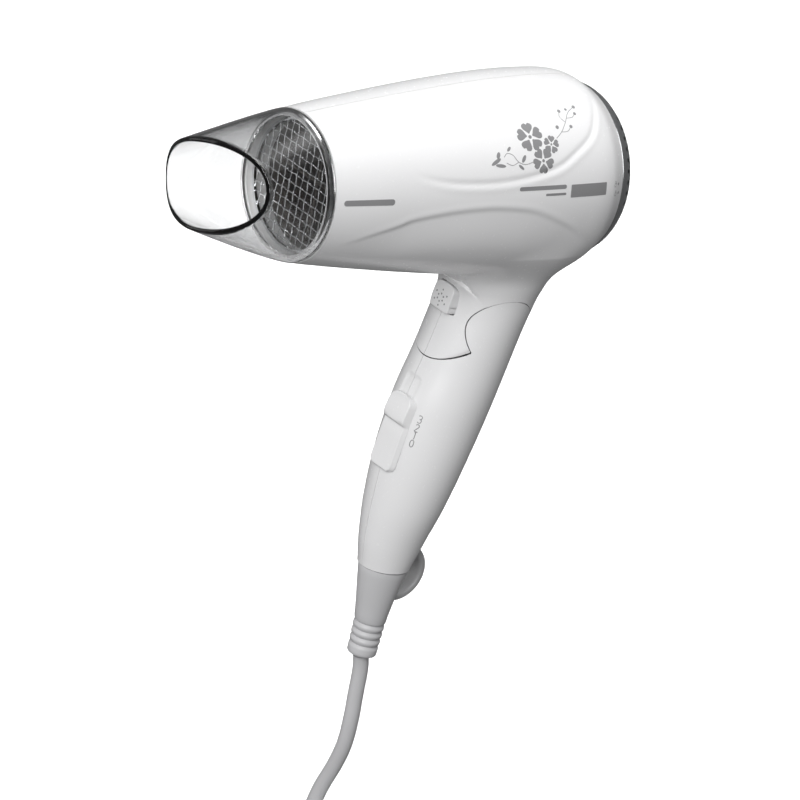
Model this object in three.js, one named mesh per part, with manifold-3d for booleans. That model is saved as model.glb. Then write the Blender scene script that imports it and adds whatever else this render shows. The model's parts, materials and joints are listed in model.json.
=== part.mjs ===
// Folding hand hair dryer with a swivelling concentrator nozzle, in millimetres, +Z up.
// The drawing frame has X along the barrel's axis, from the air outlet at 0 back to the intake,
// Y across and Z up from the barrel's axis. The exported group moves the origin to the middle of the
// grip. "Drop" is the depth below the barrel's axis.
import * as THREE from 'three';
import { mergeVertices } from 'three/addons/utils/BufferGeometryUtils.js';
import Module from 'manifold-3d';

const wasm = await Module();
wasm.setup();

// ---------------------------------------------------------------- driving dimensions
const GAP = 0.3;
const WALL = 2.2;
const GRIP = { x: 97, drop: 121 };
// Barrel: [x, outer radius].
const BARREL = [[0, 30.4], [14, 32.4], [28, 34.2], [50, 36.8], [76, 39.4], [97, 40.8], [118, 41.1],
  [131, 39.8], [139.5, 35.4]];
const REAR = 139.5;
// Neck and handle, one flowing column: [drop, centre x, half depth forward, half depth back, half width].
const COLUMN = [[24, 115.5, 41, 23, 32], [32, 115, 32, 22.5, 27], [38, 114.5, 27, 22, 24],
  [44, 113.8, 24, 21.3, 22], [50, 112.8, 20.8, 20.2, 20.6], [57, 111.5, 19.6, 19.6, 20],
  [65, 109.6, 19.4, 19.4, 19.7], [80, 106.2, 19.6, 19.6, 19.6], [100, 101.2, 20.2, 20.2, 19.7],
  [122, 96.7, 19, 19, 18.9], [143, 93.4, 16.8, 16.8, 16.6], [160, 91.1, 14, 14, 13],
  [172, 90.5, 11.6, 10.3, 10.8]];
const HANDLE_END = 172;
// Fold hinge across the top of the handle. Its angles are counted from the handle's rear side (0)
// through the handle's own axis (90) to its front (180).
const HINGE = { x: 110, z: -63.8, tilt: 14.6, seamR: 15, lobeEdge: 132, earIn: 10.8, pinR: 3, fold: 75 };
// Clear spheroid in which the neck's front lobe swings inside the handle's thin upper lip.
const SWING = { r: 28.2, y: 19, reliefR: 31, clearance: 0.4, over: 4 };
const MOUTH = { width: 67.6, height: 36.4, middle: -43, ends: -35.3, turn: -17.5, power: 2.25, lift: 2.4 };
const NOZZLE = { baseX: -0.4, baseR: 30.4, wall: 1.8 };
const SWITCH = { drop: 110.5, lean: 8.8, halfWidth: 8.2 };
const CHANNEL = { depth: 3.2, foot: -17.8, head: 28 };
const BUTTON = { drop: 55, lean: 8, halfWidth: 6, height: 13.5, proud: 2.2, depth: 4.8, flange: 1 };
const SLEEVE = { x0: 11, x1: 72, inner: 28, outer: 28.9 };
const VANE = { x0: 13, x1: 70, half: 23.6, thick: 1 };
const COIL = { count: 5, x: 18, pitch: 10.5, r: 25.5, wire: 1.4 };
const DUCT = { x0: 93, x1: 126, r: 35.6, wall: 1.4, vanes: 5 };
const MOTOR = { x0: 82, x1: 110.6, r: 14.3, nose: 112.4, noseR: 5, shaftR: 1.2 };
const FAN = { x: 119, blades: 7, pitch: 42, root: 8.5, tip: 34 };
const GUARD = { x0: 135, x1: 136.4, bar: 1.4 };
const COVER = { slots: 24, slotWidth: 2.2, flatR: 10, back: 152.5 };
const LOOP = { x: 97, z: -175.6, outer: 12.6, inner: 9.9, half: 4 };
const CORD = { r: 3.3, turns: 5, pitch: 6.9, endR: 20.5, straight: 99, hankTop: 290, tailBend: 26 };

const LOOKS = {
  white: [0xf4f4f4, 0.18, 0], innerWhite: [0xe4e4e2, 0.5, 0], grey: [0xc4c5c6, 0.5, 0],
  midGrey: [0x9d9fa1, 0.45, 0], silver: [0x8c8e91, 0.22, 0.8], clear: [0xdfe3e6, 0.05, 0],
  steel: [0xb9bcbf, 0.3, 1], mica: [0xcfc4a6, 0.55, 0], black: [0x26272a, 0.45, 0],
  brass: [0xb08d45, 0.3, 1], copper: [0xb36b3e, 0.35, 1], board: [0x2d6b45, 0.5, 0],
  yellow: [0xd9a520, 0.45, 0], blue: [0x2c62a0, 0.4, 0],
};

// ---------------------------------------------------------------- shape helpers
const rad = (degrees) => degrees * Math.PI / 180;
const vec = (x, y, z) => new THREE.Vector3(x, y, z);

// Smooth table lookup: rows are [key, value, ...], keys rise, cubic between rows.
function along(rows, key, column = 1) {
  const last = rows.length - 1;
  let i = 0;
  while (i < last - 1 && key > rows[i + 1][0]) i += 1;
  const slope = (k) => {
    const a = rows[Math.max(k - 1, 0)];
    const b = rows[Math.min(k + 1, last)];
    return (b[column] - a[column]) / (b[0] - a[0]);
  };
  const span = rows[i + 1][0] - rows[i][0];
  const t = Math.min(Math.max((key - rows[i][0]) / span, 0), 1);
  const h = t * t * (3 - 2 * t);
  const near = rows[i][column] * (1 - h) + rows[i + 1][column] * h;
  return near + span * t * (1 - t) * ((1 - t) * slope(i) - t * slope(i + 1));
}

// A closed three.js geometry as a manifold solid, facing outwards.
function solid(geometry, matrix = null) {
  const g = geometry.clone();
  if (matrix) g.applyMatrix4(matrix);
  for (const key of Object.keys(g.attributes)) if (key !== 'position') g.deleteAttribute(key);
  const merged = mergeVertices(g, 1e-4);
  const p = merged.attributes.position;
  const index = merged.index.array;
  const corner = (k) => vec(p.getX(k), p.getY(k), p.getZ(k));
  const tris = [];
  let volume = 0;
  for (let k = 0; k < index.length; k += 3) {
    const [a, b, c] = [index[k], index[k + 1], index[k + 2]];
    if (a === b || b === c || a === c) continue;
    tris.push(a, b, c);
    volume += corner(a).dot(corner(b).cross(corner(c)));
  }
  if (volume < 0) tris.reverse();
  const mesh = new wasm.Mesh({
    numProp: 3, vertProperties: new Float32Array(p.array), triVerts: new Uint32Array(tris),
  });
  return new wasm.Manifold(mesh);
}

const join = (...solids) => solids.reduce((a, b) => a.add(b));
const cut = (body, ...tools) => tools.reduce((a, b) => a.subtract(b), body);

function box(x0, x1, y0, y1, z0, z1, matrix = null) {
  const g = new THREE.BoxGeometry(x1 - x0, y1 - y0, z1 - z0);
  g.translate((x0 + x1) / 2, (y0 + y1) / 2, (z0 + z1) / 2);
  return solid(g, matrix);
}

// Solid of revolution about the X axis from [x, r] points that start and end on the axis or close.
function turned(points, segments = 32, matrix = null) {
  const g = new THREE.LatheGeometry(points.map(([x, r]) => new THREE.Vector2(r, x)), segments);
  g.rotateZ(-Math.PI / 2);
  return solid(g, matrix);
}

const disc = (x0, x1, r, segments = 24, matrix = null) =>
  turned([[x0, 0], [x0, r], [x1, r], [x1, 0]], segments, matrix);

const ring = (x0, x1, inner, outer, segments = 32, matrix = null) =>
  turned([[x0, inner], [x0, outer], [x1, outer], [x1, inner], [x0, inner]], segments, matrix);

// Turns a shape made along X to lie along Y or Z, then moves it.
const alongY = (x, y, z) => new THREE.Matrix4().makeTranslation(x, y, z)
  .multiply(new THREE.Matrix4().makeRotationZ(Math.PI / 2));
const alongZ = (x, y, z) => new THREE.Matrix4().makeTranslation(x, y, z)
  .multiply(new THREE.Matrix4().makeRotationY(-Math.PI / 2));

// Flat outline in the XZ plane, extruded across Y.
function slab(outline, y0, y1, matrix = null) {
  const shape = new THREE.Shape(outline.map(([x, z]) => new THREE.Vector2(x, z)));
  const g = new THREE.ExtrudeGeometry(shape, { depth: y1 - y0, bevelEnabled: false });
  g.rotateX(Math.PI / 2);
  g.translate(0, y1, 0);
  return solid(g, matrix);
}

// Closed body through rings of equal point counts, with fan caps.
function loft(rings) {
  const n = rings[0].length;
  const centre = (points) => points.reduce((s, q) => s.add(q), vec(0, 0, 0)).divideScalar(n);
  const all = rings.flat().concat(centre(rings[0]), centre(rings[rings.length - 1]));
  const index = [];
  for (let j = 0; j < n; j += 1) {
    const k = (j + 1) % n;
    for (let i = 0; i < rings.length - 1; i += 1) {
      const [a, b, c, d] = [i * n + j, i * n + k, (i + 1) * n + j, (i + 1) * n + k];
      index.push(a, b, c, b, d, c);
    }
    const top = (rings.length - 1) * n;
    index.push(all.length - 2, k, j, all.length - 1, top + j, top + k);
  }
  const g = new THREE.BufferGeometry();
  g.setAttribute('position', new THREE.Float32BufferAttribute(all.flatMap((q) => q.toArray()), 3));
  g.setIndex(index);
  return solid(g);
}

// Round tube along points, with flat closed ends.
function tube(points, r, sides = 8, steps = 12) {
  const path = new THREE.CatmullRomCurve3(points.map(([x, y, z]) => vec(x, y, z)));
  const shape = new THREE.Shape();
  for (let k = 0; k < sides; k += 1) {
    const a = 2 * Math.PI * k / sides;
    if (k === 0) shape.moveTo(r, 0);
    else shape.lineTo(r * Math.cos(a), r * Math.sin(a));
  }
  shape.closePath();
  return solid(new THREE.ExtrudeGeometry(shape, { steps, bevelEnabled: false, extrudePath: path }));
}

const dryer = new THREE.Group();
dryer.position.set(-GRIP.x, 0, GRIP.drop);

function add(name, body, look, opacity = 1) {
  const { vertProperties, triVerts } = body.getMesh();
  const g = new THREE.BufferGeometry();
  g.setAttribute('position', new THREE.Float32BufferAttribute(vertProperties, 3));
  g.setIndex(Array.from(triVerts));
  g.computeVertexNormals();
  const [color, roughness, metalness] = LOOKS[look];
  const material = new THREE.MeshStandardMaterial({
    color, roughness, metalness, opacity, transparent: opacity < 1,
  });
  const mesh = new THREE.Mesh(g, material);
  mesh.name = name;
  dryer.add(mesh);
}

// ---------------------------------------------------------------- outer forms
const barrelR = (x) => along(BARREL, x);
const columnX = (drop) => along(COLUMN, drop, 1);
const frontX = (drop) => columnX(drop) - along(COLUMN, drop, 2);

// One level ring of the column, shrunk by inset.
function columnRing(drop, inset, count = 28) {
  const [fore, aft, wide] = [2, 3, 4].map((c) => along(COLUMN, drop, c) - inset);
  return Array.from({ length: count }, (_, k) => {
    const a = 2 * Math.PI * (k + 0.5) / count;
    const depth = Math.cos(a) < 0 ? fore : aft;
    return vec(columnX(drop) + depth * Math.cos(a), wide * Math.sin(a), -drop);
  });
}

function column(from, to, inset, count = 28) {
  const steps = COLUMN.map((row) => row[0]).filter((d) => d > from + 1 && d < to - 1);
  return loft([from, ...steps, to].map((drop) => columnRing(drop, inset, count)));
}

function barrelBody(from, to, inset) {
  const inner = BARREL.filter(([x]) => x > from + 1 && x < to - 1).map(([x, r]) => [x, r - inset]);
  const ends = [[from, barrelR(from) - inset], [to, barrelR(to) - inset]];
  return turned([[from, 0], ends[0], ...inner, ends[1], [to, 0]], 40);
}

// Hinge coordinates: u runs to the handle's rear, s down its axis.
function hingePoint(u, s) {
  const t = rad(HINGE.tilt);
  return [HINGE.x + u * Math.cos(t) - s * Math.sin(t), HINGE.z - u * Math.sin(t) - s * Math.cos(t)];
}

function hingePolar(r, angle) {
  return hingePoint(r * Math.cos(rad(angle)), r * Math.sin(rad(angle)));
}

const barOnHinge = (r, y0, y1, segments = 32) =>
  disc(y0, y1, r, segments, alongY(HINGE.x, 0, HINGE.z));

// Everything on the handle's side of the fold seam, grown by a clearance.
function handleSide(grow) {
  const far = 200;
  const [c, s] = [Math.cos(rad(HINGE.lobeEdge)), Math.sin(rad(HINGE.lobeEdge))];
  const wedge = [hingePoint(-grow * (1 + c) / s, -grow), hingePoint(far, -grow), hingePoint(far, far),
    hingePoint(far * c - grow * s, far * s + grow * c)];
  return join(slab(wedge, -60, 60), barOnHinge(HINGE.seamR + grow, -60, 60, 40));
}

// Spheroid about the hinge axis.
function swingBody(inset) {
  const count = 10;
  const points = Array.from({ length: count + 1 }, (_, k) => {
    const a = Math.PI * k / count;
    return [-(SWING.y - inset) * Math.cos(a), (SWING.r - inset) * Math.sin(a)];
  });
  points[0][1] = 0;
  points[count][1] = 0;
  return turned(points, 40, alongY(HINGE.x, 0, HINGE.z));
}

function hingeWedge(from, to, r, halfWidth = 40) {
  const count = 8;
  const arc = Array.from({ length: count + 1 }, (_, k) => hingePolar(r, from + (to - from) * k / count));
  return slab([hingePoint(0, 0), ...arc], -halfWidth, halfWidth);
}

// ---------------------------------------------------------------- local frames of the controls
const lean = (degrees, x, z) => new THREE.Matrix4().makeTranslation(x, 0, z)
  .multiply(new THREE.Matrix4().makeRotationY(rad(degrees)));
// Local -X points out of the handle's front and local +Z up along it.
const switchFrame = lean(SWITCH.lean, frontX(SWITCH.drop), -SWITCH.drop);
const buttonFrame = lean(BUTTON.lean, frontX(BUTTON.drop), -BUTTON.drop);

// Button outline across the front: straight foot and arched head, in local Y and Z.
function buttonBody(x0, x1, grow) {
  const w = BUTTON.halfWidth + grow;
  const foot = -BUTTON.height / 2 - grow;
  const shoulder = BUTTON.height / 2 - BUTTON.halfWidth + 1.5;
  const outline = [[-w, foot], [w, foot]];
  for (let k = 0; k <= 8; k += 1) {
    const a = Math.PI * k / 8;
    outline.push([w * Math.cos(a), shoulder + (w - 1.5) * Math.sin(a)]);
  }
  const shape = new THREE.Shape(outline.map(([y, z]) => new THREE.Vector2(y, z)));
  const g = new THREE.ExtrudeGeometry(shape, { depth: x1 - x0, bevelEnabled: false });
  g.rotateX(Math.PI / 2);
  g.rotateZ(Math.PI / 2);
  g.translate(x0, 0, 0);
  return solid(g, buttonFrame);
}

// ---------------------------------------------------------------- shells
const left = box(-80, 260, -80, -GAP / 2, -260, 80);
const right = box(-80, 260, GAP / 2, 80, -260, 80);

// A pair of screw bosses across the parting plane, pierced for the screw from the +Y side.
const bossAt = (x, z, r, half) => disc(-half, half, r, 12, alongY(x, 0, z));
const screwHole = (x, z, r, half) => disc(-half + 2.5, 90, r, 10, alongY(x, 0, z));
const headHole = (x, z, y0) => disc(y0, 90, 3.1, 10, alongY(x, 0, z));

const HANDLE_SCREWS = [{ x: 90.6, z: -150, head: 12 }];
const NECK_SCREW = { x: 126, z: -43, head: 15 };

function housing() {
  const outer = join(barrelBody(0, REAR, 0), column(24, 96, 0));
  const inner = join(barrelBody(-2, REAR + 2, WALL), column(22, 98, WALL));
  const boss = bossAt(NECK_SCREW.x, NECK_SCREW.z, 3.4, 24);
  const shell = join(cut(outer, inner), boss.intersect(outer));
  const seam = handleSide(GAP);
  const lobeRelief = cut(
    hingeWedge(HINGE.lobeEdge - SWING.over, HINGE.lobeEdge + HINGE.fold + SWING.over, SWING.reliefR)
      .intersect(column(30, 98, -2)),
    swingBody(SWING.clearance),
  );
  return cut(shell, seam, lobeRelief, buttonBody(-12, 12, 0.4),
    screwHole(NECK_SCREW.x, NECK_SCREW.z, 1.6, 14), headHole(NECK_SCREW.x, NECK_SCREW.z, NECK_SCREW.head));
}

function handle() {
  const outer = column(46, HANDLE_END, 0);
  const hollow = cut(column(48, HANDLE_END + 1, WALL), barOnHinge(HINGE.seamR, -40, 40));
  const pad = box(0, 5.6, -10.6, 10.6, -21, 31, switchFrame).intersect(outer);
  const lip = cut(swingBody(0), barOnHinge(HINGE.seamR + GAP / 2, -40, 40))
    .intersect(hingeWedge(90, 140, 60));
  let body = join(cut(outer, hollow), pad);
  for (const s of HANDLE_SCREWS) body = join(body, bossAt(s.x, s.z, 3.4, 15).intersect(outer));
  body = body.intersect(handleSide(0));
  body = cut(body, lip, barOnHinge(HINGE.seamR + 0.1, -HINGE.earIn, HINGE.earIn),
    barOnHinge(10, -15, 15, 24), barOnHinge(HINGE.pinR + GAP, -16.8, 16.8, 16),
    box(-8, CHANNEL.depth, -SWITCH.halfWidth - 0.4, SWITCH.halfWidth + 0.4, CHANNEL.foot, CHANNEL.head,
      switchFrame),
    box(0, 9, -2.2, 2.2, -8.5, 13.5, switchFrame));
  for (const s of HANDLE_SCREWS) body = cut(body, screwHole(s.x, s.z, 1.6, 9), headHole(s.x, s.z, s.head));
  return body;
}

const housingBody = housing();
const handleBody = handle();
add('housing_left', housingBody.intersect(left), 'white');
add('housing_right', housingBody.intersect(right), 'white');
add('handle_left', handleBody.intersect(left), 'white');
add('handle_right', handleBody.intersect(right), 'white');

// ---------------------------------------------------------------- fold hinge
function drum() {
  const core = join(barOnHinge(14.8, -10.4, 10.4), barOnHinge(9.6, -14.6, 14.6, 24));
  const stem = box(HINGE.x - 2, HINGE.x + 8, -8, 8, HINGE.z + 6, -40);
  const held = join(core.intersect(column(40, 90, 1)), stem);
  return cut(held, barOnHinge(HINGE.pinR + GAP, -20, 20, 16), box(-5, 8, -8.6, 8.6, -10, 14, buttonFrame));
}
add('hinge_drum', drum(), 'innerWhite');
add('hinge_pin', barOnHinge(HINGE.pinR, -16.4, 16.4, 16), 'steel');

// ---------------------------------------------------------------- nozzle
// Ring number t runs from the round base (0) to the wide mouth (1).
function nozzleRing(t, inset) {
  const count = 32;
  const turn = rad(MOUTH.turn);
  const ease = Math.max(t, 0) ** 1.15;
  return Array.from({ length: count }, (_, k) => {
    const a = 2 * Math.PI * k / count;
    const [c, s] = [Math.cos(a), Math.sin(a)];
    const round = (v) => Math.sign(v) * Math.abs(v) ** (2 / MOUTH.power);
    const y = (1 - ease) * (NOZZLE.baseR - inset) * c + ease * (MOUTH.width / 2 - inset) * round(c);
    const z = (1 - ease) * (NOZZLE.baseR - inset) * s + ease * (MOUTH.height / 2 - inset) * round(s);
    const edge = MOUTH.middle + (MOUTH.ends - MOUTH.middle) * (2 * y / MOUTH.width) ** 2;
    const x = NOZZLE.baseX + (edge - NOZZLE.baseX) * t;
    const up = y * Math.sin(turn) + z * Math.cos(turn) + ease * MOUTH.lift;
    return vec(x, y * Math.cos(turn) - z * Math.sin(turn), up);
  });
}

function nozzle() {
  const steps = [0, 0.1, 0.3, 0.5, 0.75, 1];
  const outer = loft(steps.map((t) => nozzleRing(t, 0)));
  const inner = loft([-0.05, 0.1, 0.3, 0.5, 0.75, 1.04].map((t) => nozzleRing(t, NOZZLE.wall)));
  const flange = ring(-3, -2, 26.4, 28.6, 32);
  return join(cut(outer, inner), flange);
}
add('concentrator_nozzle', nozzle(), 'clear', 0.35);

// ---------------------------------------------------------------- air outlet and heater
const MESH = { x0: 1.6, x1: 2.6, r: 26, pitch: 8.4, bar: 0.9 };
function outletMesh() {
  let grid = ring(MESH.x0, MESH.x1, 24.2, MESH.r, 32);
  for (let k = -2; k <= 2; k += 1) {
    const p = k * MESH.pitch;
    const half = Math.sqrt(25 ** 2 - p * p);
    grid = join(grid, box(MESH.x0, MESH.x1, p - MESH.bar / 2, p + MESH.bar / 2, -half, half),
      box(MESH.x0, MESH.x1, -half, half, p - MESH.bar / 2, p + MESH.bar / 2));
  }
  return grid;
}
add('outlet_ring', turned([[-1.4, 26.3], [-1.4, 27.8], [4, 27.9], [9, 28.9], [9, 26.3], [-1.4, 26.3]], 36),
  'innerWhite');
add('outlet_mesh', outletMesh(), 'steel');
add('heat_sleeve', ring(SLEEVE.x0, SLEEVE.x1, SLEEVE.inner, SLEEVE.outer, 32), 'mica');

function heaterFormer() {
  const upright = box(VANE.x0, VANE.x1, -VANE.thick / 2, VANE.thick / 2, -VANE.half, VANE.half);
  const flat = box(VANE.x0, VANE.x1, -VANE.half, VANE.half, -VANE.thick / 2, VANE.thick / 2);
  return join(upright, flat, disc(66, 68, 20, 24));
}
add('heater_former', heaterFormer(), 'mica');
for (let k = 0; k < COIL.count; k += 1) {
  const x = COIL.x + k * COIL.pitch;
  const profile = Array.from({ length: 6 }, (_, j) => {
    const a = 2 * Math.PI / 5 * (j % 5);
    return [x + COIL.wire * Math.cos(a), COIL.r + COIL.wire * Math.sin(a)];
  });
  add(`heater_coil_${k + 1}`, turned(profile, 20), 'copper');
}
add('thermostat', box(30, 42, 3, 11, 6, 10), 'black');
add('thermal_fuse', disc(28, 40, 1.8, 8, new THREE.Matrix4().makeTranslation(0, -9, 9)), 'steel');

// ---------------------------------------------------------------- motor and fan
function motorMount() {
  const shell = ring(DUCT.x0, DUCT.x1, DUCT.r, DUCT.r + DUCT.wall, 36);
  const cup = ring(DUCT.x0, 109, 14.6, 16.2, 24);
  let body = join(shell, cup);
  for (let k = 0; k < DUCT.vanes; k += 1) {
    const turn = new THREE.Matrix4().makeRotationX(2 * Math.PI * (k + 0.5) / DUCT.vanes);
    body = join(body, box(DUCT.x0 + 1, 108, -0.7, 0.7, 15.6, DUCT.r + 0.5, turn));
  }
  return body;
}
add('motor_mount', motorMount(), 'grey');
add('motor', join(disc(MOTOR.x0, MOTOR.x1, MOTOR.r, 24), disc(MOTOR.x1, MOTOR.nose, MOTOR.noseR, 16)),
  'steel');
add('motor_end_bell', disc(MOTOR.x0 - 3.4, MOTOR.x0 - GAP, MOTOR.r - 0.7, 24), 'black');
add('motor_shaft', disc(MOTOR.nose + GAP, 127, MOTOR.shaftR, 12), 'steel');

function fan() {
  const hub = turned([[114, 1.25], [114, 11.5], [124, 9], [126.6, 4], [126.6, 1.25], [114, 1.25]], 24);
  let body = hub;
  for (let k = 0; k < FAN.blades; k += 1) {
    const turn = new THREE.Matrix4().makeRotationX(2 * Math.PI * k / FAN.blades);
    const pitch = new THREE.Matrix4().makeTranslation(FAN.x, 0, 0)
      .multiply(new THREE.Matrix4().makeRotationZ(rad(FAN.pitch)));
    body = join(body, box(-6.5, 6.5, -0.7, 0.7, FAN.root, FAN.tip, turn.multiply(pitch)));
  }
  return body;
}
add('fan', fan(), 'grey');

// ---------------------------------------------------------------- rear intake
function rearCover() {
  const outside = [[143, 34.4], [146.5, 31.8], [149.5, 27.5], [151.3, 22], [152.2, 16]];
  const inside = outside.slice().reverse().map(([x, r]) => [x - 1.3, r - 1.7]);
  const profile = [[COVER.back - 1.8, 0], [COVER.back - 1.8, COVER.flatR - 1], ...inside, [REAR + GAP, 33.4],
    [REAR + GAP, 35.2], ...outside, [COVER.back, COVER.flatR], [COVER.back, 0]];
  let body = turned(profile, 40);
  for (let k = 0; k < COVER.slots; k += 1) {
    const turn = new THREE.Matrix4().makeRotationX(2 * Math.PI * k / COVER.slots);
    body = cut(body, box(144, 160, -COVER.slotWidth / 2, COVER.slotWidth / 2, 15, 50, turn));
  }
  return body;
}
add('rear_cover', rearCover(), 'silver');

function bayonetRing() {
  let body = ring(131.5, 138.6, 30.2, 31.6, 32);
  for (let k = 0; k < 3; k += 1) {
    const turn = new THREE.Matrix4().makeRotationX(2 * Math.PI * (k + 0.2) / 3);
    body = join(body, box(134, 136, -4, 4, 31.2, 32.8, turn));
  }
  return body;
}
add('bayonet_ring', bayonetRing(), 'innerWhite');

function fingerGuard() {
  let body = join(ring(GUARD.x0, GUARD.x1, 27.8, 29.9, 32), disc(GUARD.x0, GUARD.x1, 5, 16));
  for (const r of [12, 20]) body = join(body, ring(GUARD.x0, GUARD.x1, r, r + GUARD.bar, 24));
  for (let k = 0; k < 3; k += 1) {
    const turn = new THREE.Matrix4().makeRotationX(Math.PI * k / 3);
    body = join(body, box(GUARD.x0, GUARD.x1, -GUARD.bar / 2, GUARD.bar / 2, -28.5, 28.5, turn));
  }
  return body;
}
add('finger_guard', fingerGuard(), 'black');
add('lint_filter', ring(140.4, 141.2, 8, 31.2, 32), 'midGrey');

// ---------------------------------------------------------------- cool-shot button
function coolButton() {
  const cap = join(buttonBody(-BUTTON.proud, BUTTON.depth, 0), buttonBody(4, BUTTON.depth, BUTTON.flange));
  return cut(cap, disc(0, 10, 3.4, 16, buttonFrame));
}
add('cool_button', coolButton(), 'white');
add('cool_button_spring', ring(2.9, 7.6, 2.3, 3, 12, buttonFrame), 'steel');
add('cool_microswitch', box(8, 12.6, -4.8, 4.8, 7.3, 12.6, buttonFrame), 'black');

// ---------------------------------------------------------------- speed switch
function switchKnob() {
  const side = [[2.9, -17.4], [-0.2, -17.4], [-0.9, -15.6], [-1, 1.6], [-2.6, 4], [-3, 9], [-2.6, 14],
    [-1.2, 16.4], [2.9, 16.8]];
  const bulk = slab(side, -SWITCH.halfWidth, SWITCH.halfWidth, switchFrame).intersect(column(84, 140, -3));
  return join(bulk, box(2.5, 9.2, -1.8, 1.8, -7.5, 2.5, switchFrame));
}
add('speed_knob', switchKnob(), 'white');
add('switch_slider', box(9.5, 12, -4, 4, -9, 4, switchFrame), 'black');
add('switch_body', box(12.4, 20, -6, 6, -15, 20, switchFrame), 'black');
add('switch_board', box(20.4, 22, -8, 8, -19, 20, switchFrame), 'board');
add('suppression_capacitor', box(22.4, 28.4, -5, 5, -12, 3, switchFrame), 'yellow');

// ---------------------------------------------------------------- screws and cord entry
function screw(name, x, z, head, length) {
  const profile = [[head - length, 0], [head - length, 1.3], [head - 0.1, 1.3], [head + 0.2, 2.6],
    [head + 2, 2.6], [head + 2, 0]];
  add(name, turned(profile, 10, alongY(x, 0, z)), 'steel');
}
screw('neck_screw', NECK_SCREW.x, NECK_SCREW.z, NECK_SCREW.head + 0.3, 26);
HANDLE_SCREWS.forEach((s, k) => screw(`handle_screw_${k + 1}`, s.x, s.z, s.head + 0.3, 17));

add('cord_clamp', box(85, 98, -6.5, 6.5, -160.5, -156.5), 'grey');

// Strain relief: a tapering boot with four ribs and an end collar, hung from the handle's end.
const BOOT = { x: 90.5, z: -HANDLE_END - 0.8, length: 40, lean: 2.7 };
const bootFrame = new THREE.Matrix4().makeTranslation(BOOT.x, 0, BOOT.z)
  .multiply(new THREE.Matrix4().makeRotationY(rad(90 + BOOT.lean)));
function strainRelief() {
  const profile = [[-9, 0], [-9, 7], [0, 7], [0, 10.4], [9, 8.8], [22.4, 7.1]];
  for (let k = 0; k < 4; k += 1) {
    const x = 24.8 + k * 3.1;
    const groove = 6.2 - 0.1 * k;
    const rib = 7 - 0.2 * k;
    profile.push([x, groove], [x + 0.7, groove], [x + 1.1, rib], [x + 2.2, rib]);
  }
  profile.push([37.6, 5.9], [BOOT.length, 5.9], [BOOT.length, 0]);
  return turned(profile, 16, bootFrame);
}
const boot = strainRelief();
add('strain_relief', boot, 'grey');

const bootRoom = disc(-2, 24, 10.9, 24, bootFrame);
const loopBand = ring(-LOOP.half, LOOP.half, LOOP.inner, LOOP.outer, 32, alongY(LOOP.x, 0, LOOP.z));
const loopSide = box(LOOP.x - 2, LOOP.x + 20, -6, 6, LOOP.z - 14, LOOP.z + 14);
add('hang_loop', cut(loopBand.intersect(loopSide), bootRoom, column(150, HANDLE_END, -0.4)), 'midGrey');

// ---------------------------------------------------------------- wiring inside
const leadY = [-3, 0, 3];
const leadLook = ['black', 'blue', 'black'];
leadY.forEach((y, k) => {
  const route = [[94.4, y, -155.9], [96.6, y, -150], [99, y * 1.2, -142], [104, y * 1.3, -131]];
  add(`handle_lead_${k + 1}`, tube(route, 1.1, 6, 6), leadLook[k]);
});
const motorLead = [[100, -6, -44.5], [95, -6, -41], [91.6, -5, -37.2], [88, -5, -32.6], [76, -8, -12]];
add('motor_lead', tube(motorLead, 1.2, 6, 8), 'black');

// ---------------------------------------------------------------- power cord
const bootTip = vec(BOOT.length + 2 * GAP, 0, 0).applyMatrix4(bootFrame);
const HANK = { x: 92, top: -CORD.hankTop, outer: CORD.endR + CORD.r + 0.7 };
HANK.centreTop = HANK.top - HANK.outer;
HANK.centreEnd = HANK.centreTop - CORD.straight;
HANK.half = CORD.turns * CORD.pitch / 2;
const cordRoute = [[bootTip.x, 0, bootTip.z], [89.8, 0, -228], [91, 0, -248], [91.8, 0, -270],
  [HANK.x, 0, HANK.top + GAP]];
add('cord', tube(cordRoute, CORD.r, 8, 12), 'grey');

function stadium(outer, extra = 0) {
  const points = [];
  for (let k = 0; k <= 12; k += 1) {
    const a = Math.PI * k / 12;
    points.push([HANK.x + (outer + extra) * Math.cos(a), HANK.centreTop + (outer + extra) * Math.sin(a)]);
  }
  for (let k = 0; k <= 12; k += 1) {
    const a = Math.PI * (1 + k / 12);
    points.push([HANK.x + (outer + extra) * Math.cos(a), HANK.centreEnd + (outer + extra) * Math.sin(a)]);
  }
  return points;
}
add('cord_hank', slab(stadium(HANK.outer), -HANK.half, HANK.half), 'grey');

const tailX = HANK.x - HANK.outer - 0.5 - CORD.r;
const PLUG = { x: tailX - 2 * CORD.tailBend, top: -362, body: 38, pitch: 19, pinR: 2.4, pin: 19 };
const tailY = -CORD.pitch * (CORD.turns - 1) / 2;
const tail = [[tailX, tailY, -352], [tailX, 0.97 * tailY, -342], [tailX, 0.86 * tailY, -330]];
for (let k = 0; k <= 6; k += 1) {
  const a = Math.PI * k / 6;
  const y = tailY * (0.35 + 0.35 * Math.cos(a));
  tail.push([tailX - CORD.tailBend * (1 - Math.cos(a)), y, -318 + CORD.tailBend * Math.sin(a)]);
}
tail.push([PLUG.x, 0, -332], [PLUG.x, 0, PLUG.top + GAP]);
add('cord_tail', tube(tail, CORD.r, 8, 26), 'grey');

const TIE = { z: -393, width: 9, thick: 1.4 };
const tieHole = box(HANK.x - HANK.outer - GAP, HANK.x + HANK.outer + GAP, -HANK.half - GAP, HANK.half + GAP,
  TIE.z - 20, TIE.z + 20);
const tieBand = box(HANK.x - HANK.outer - TIE.thick - GAP, HANK.x + HANK.outer + TIE.thick + GAP,
  -HANK.half - TIE.thick - GAP, HANK.half + TIE.thick + GAP, TIE.z - TIE.width / 2, TIE.z + TIE.width / 2);
add('cord_tie', cut(tieBand, tieHole), 'black');

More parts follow.
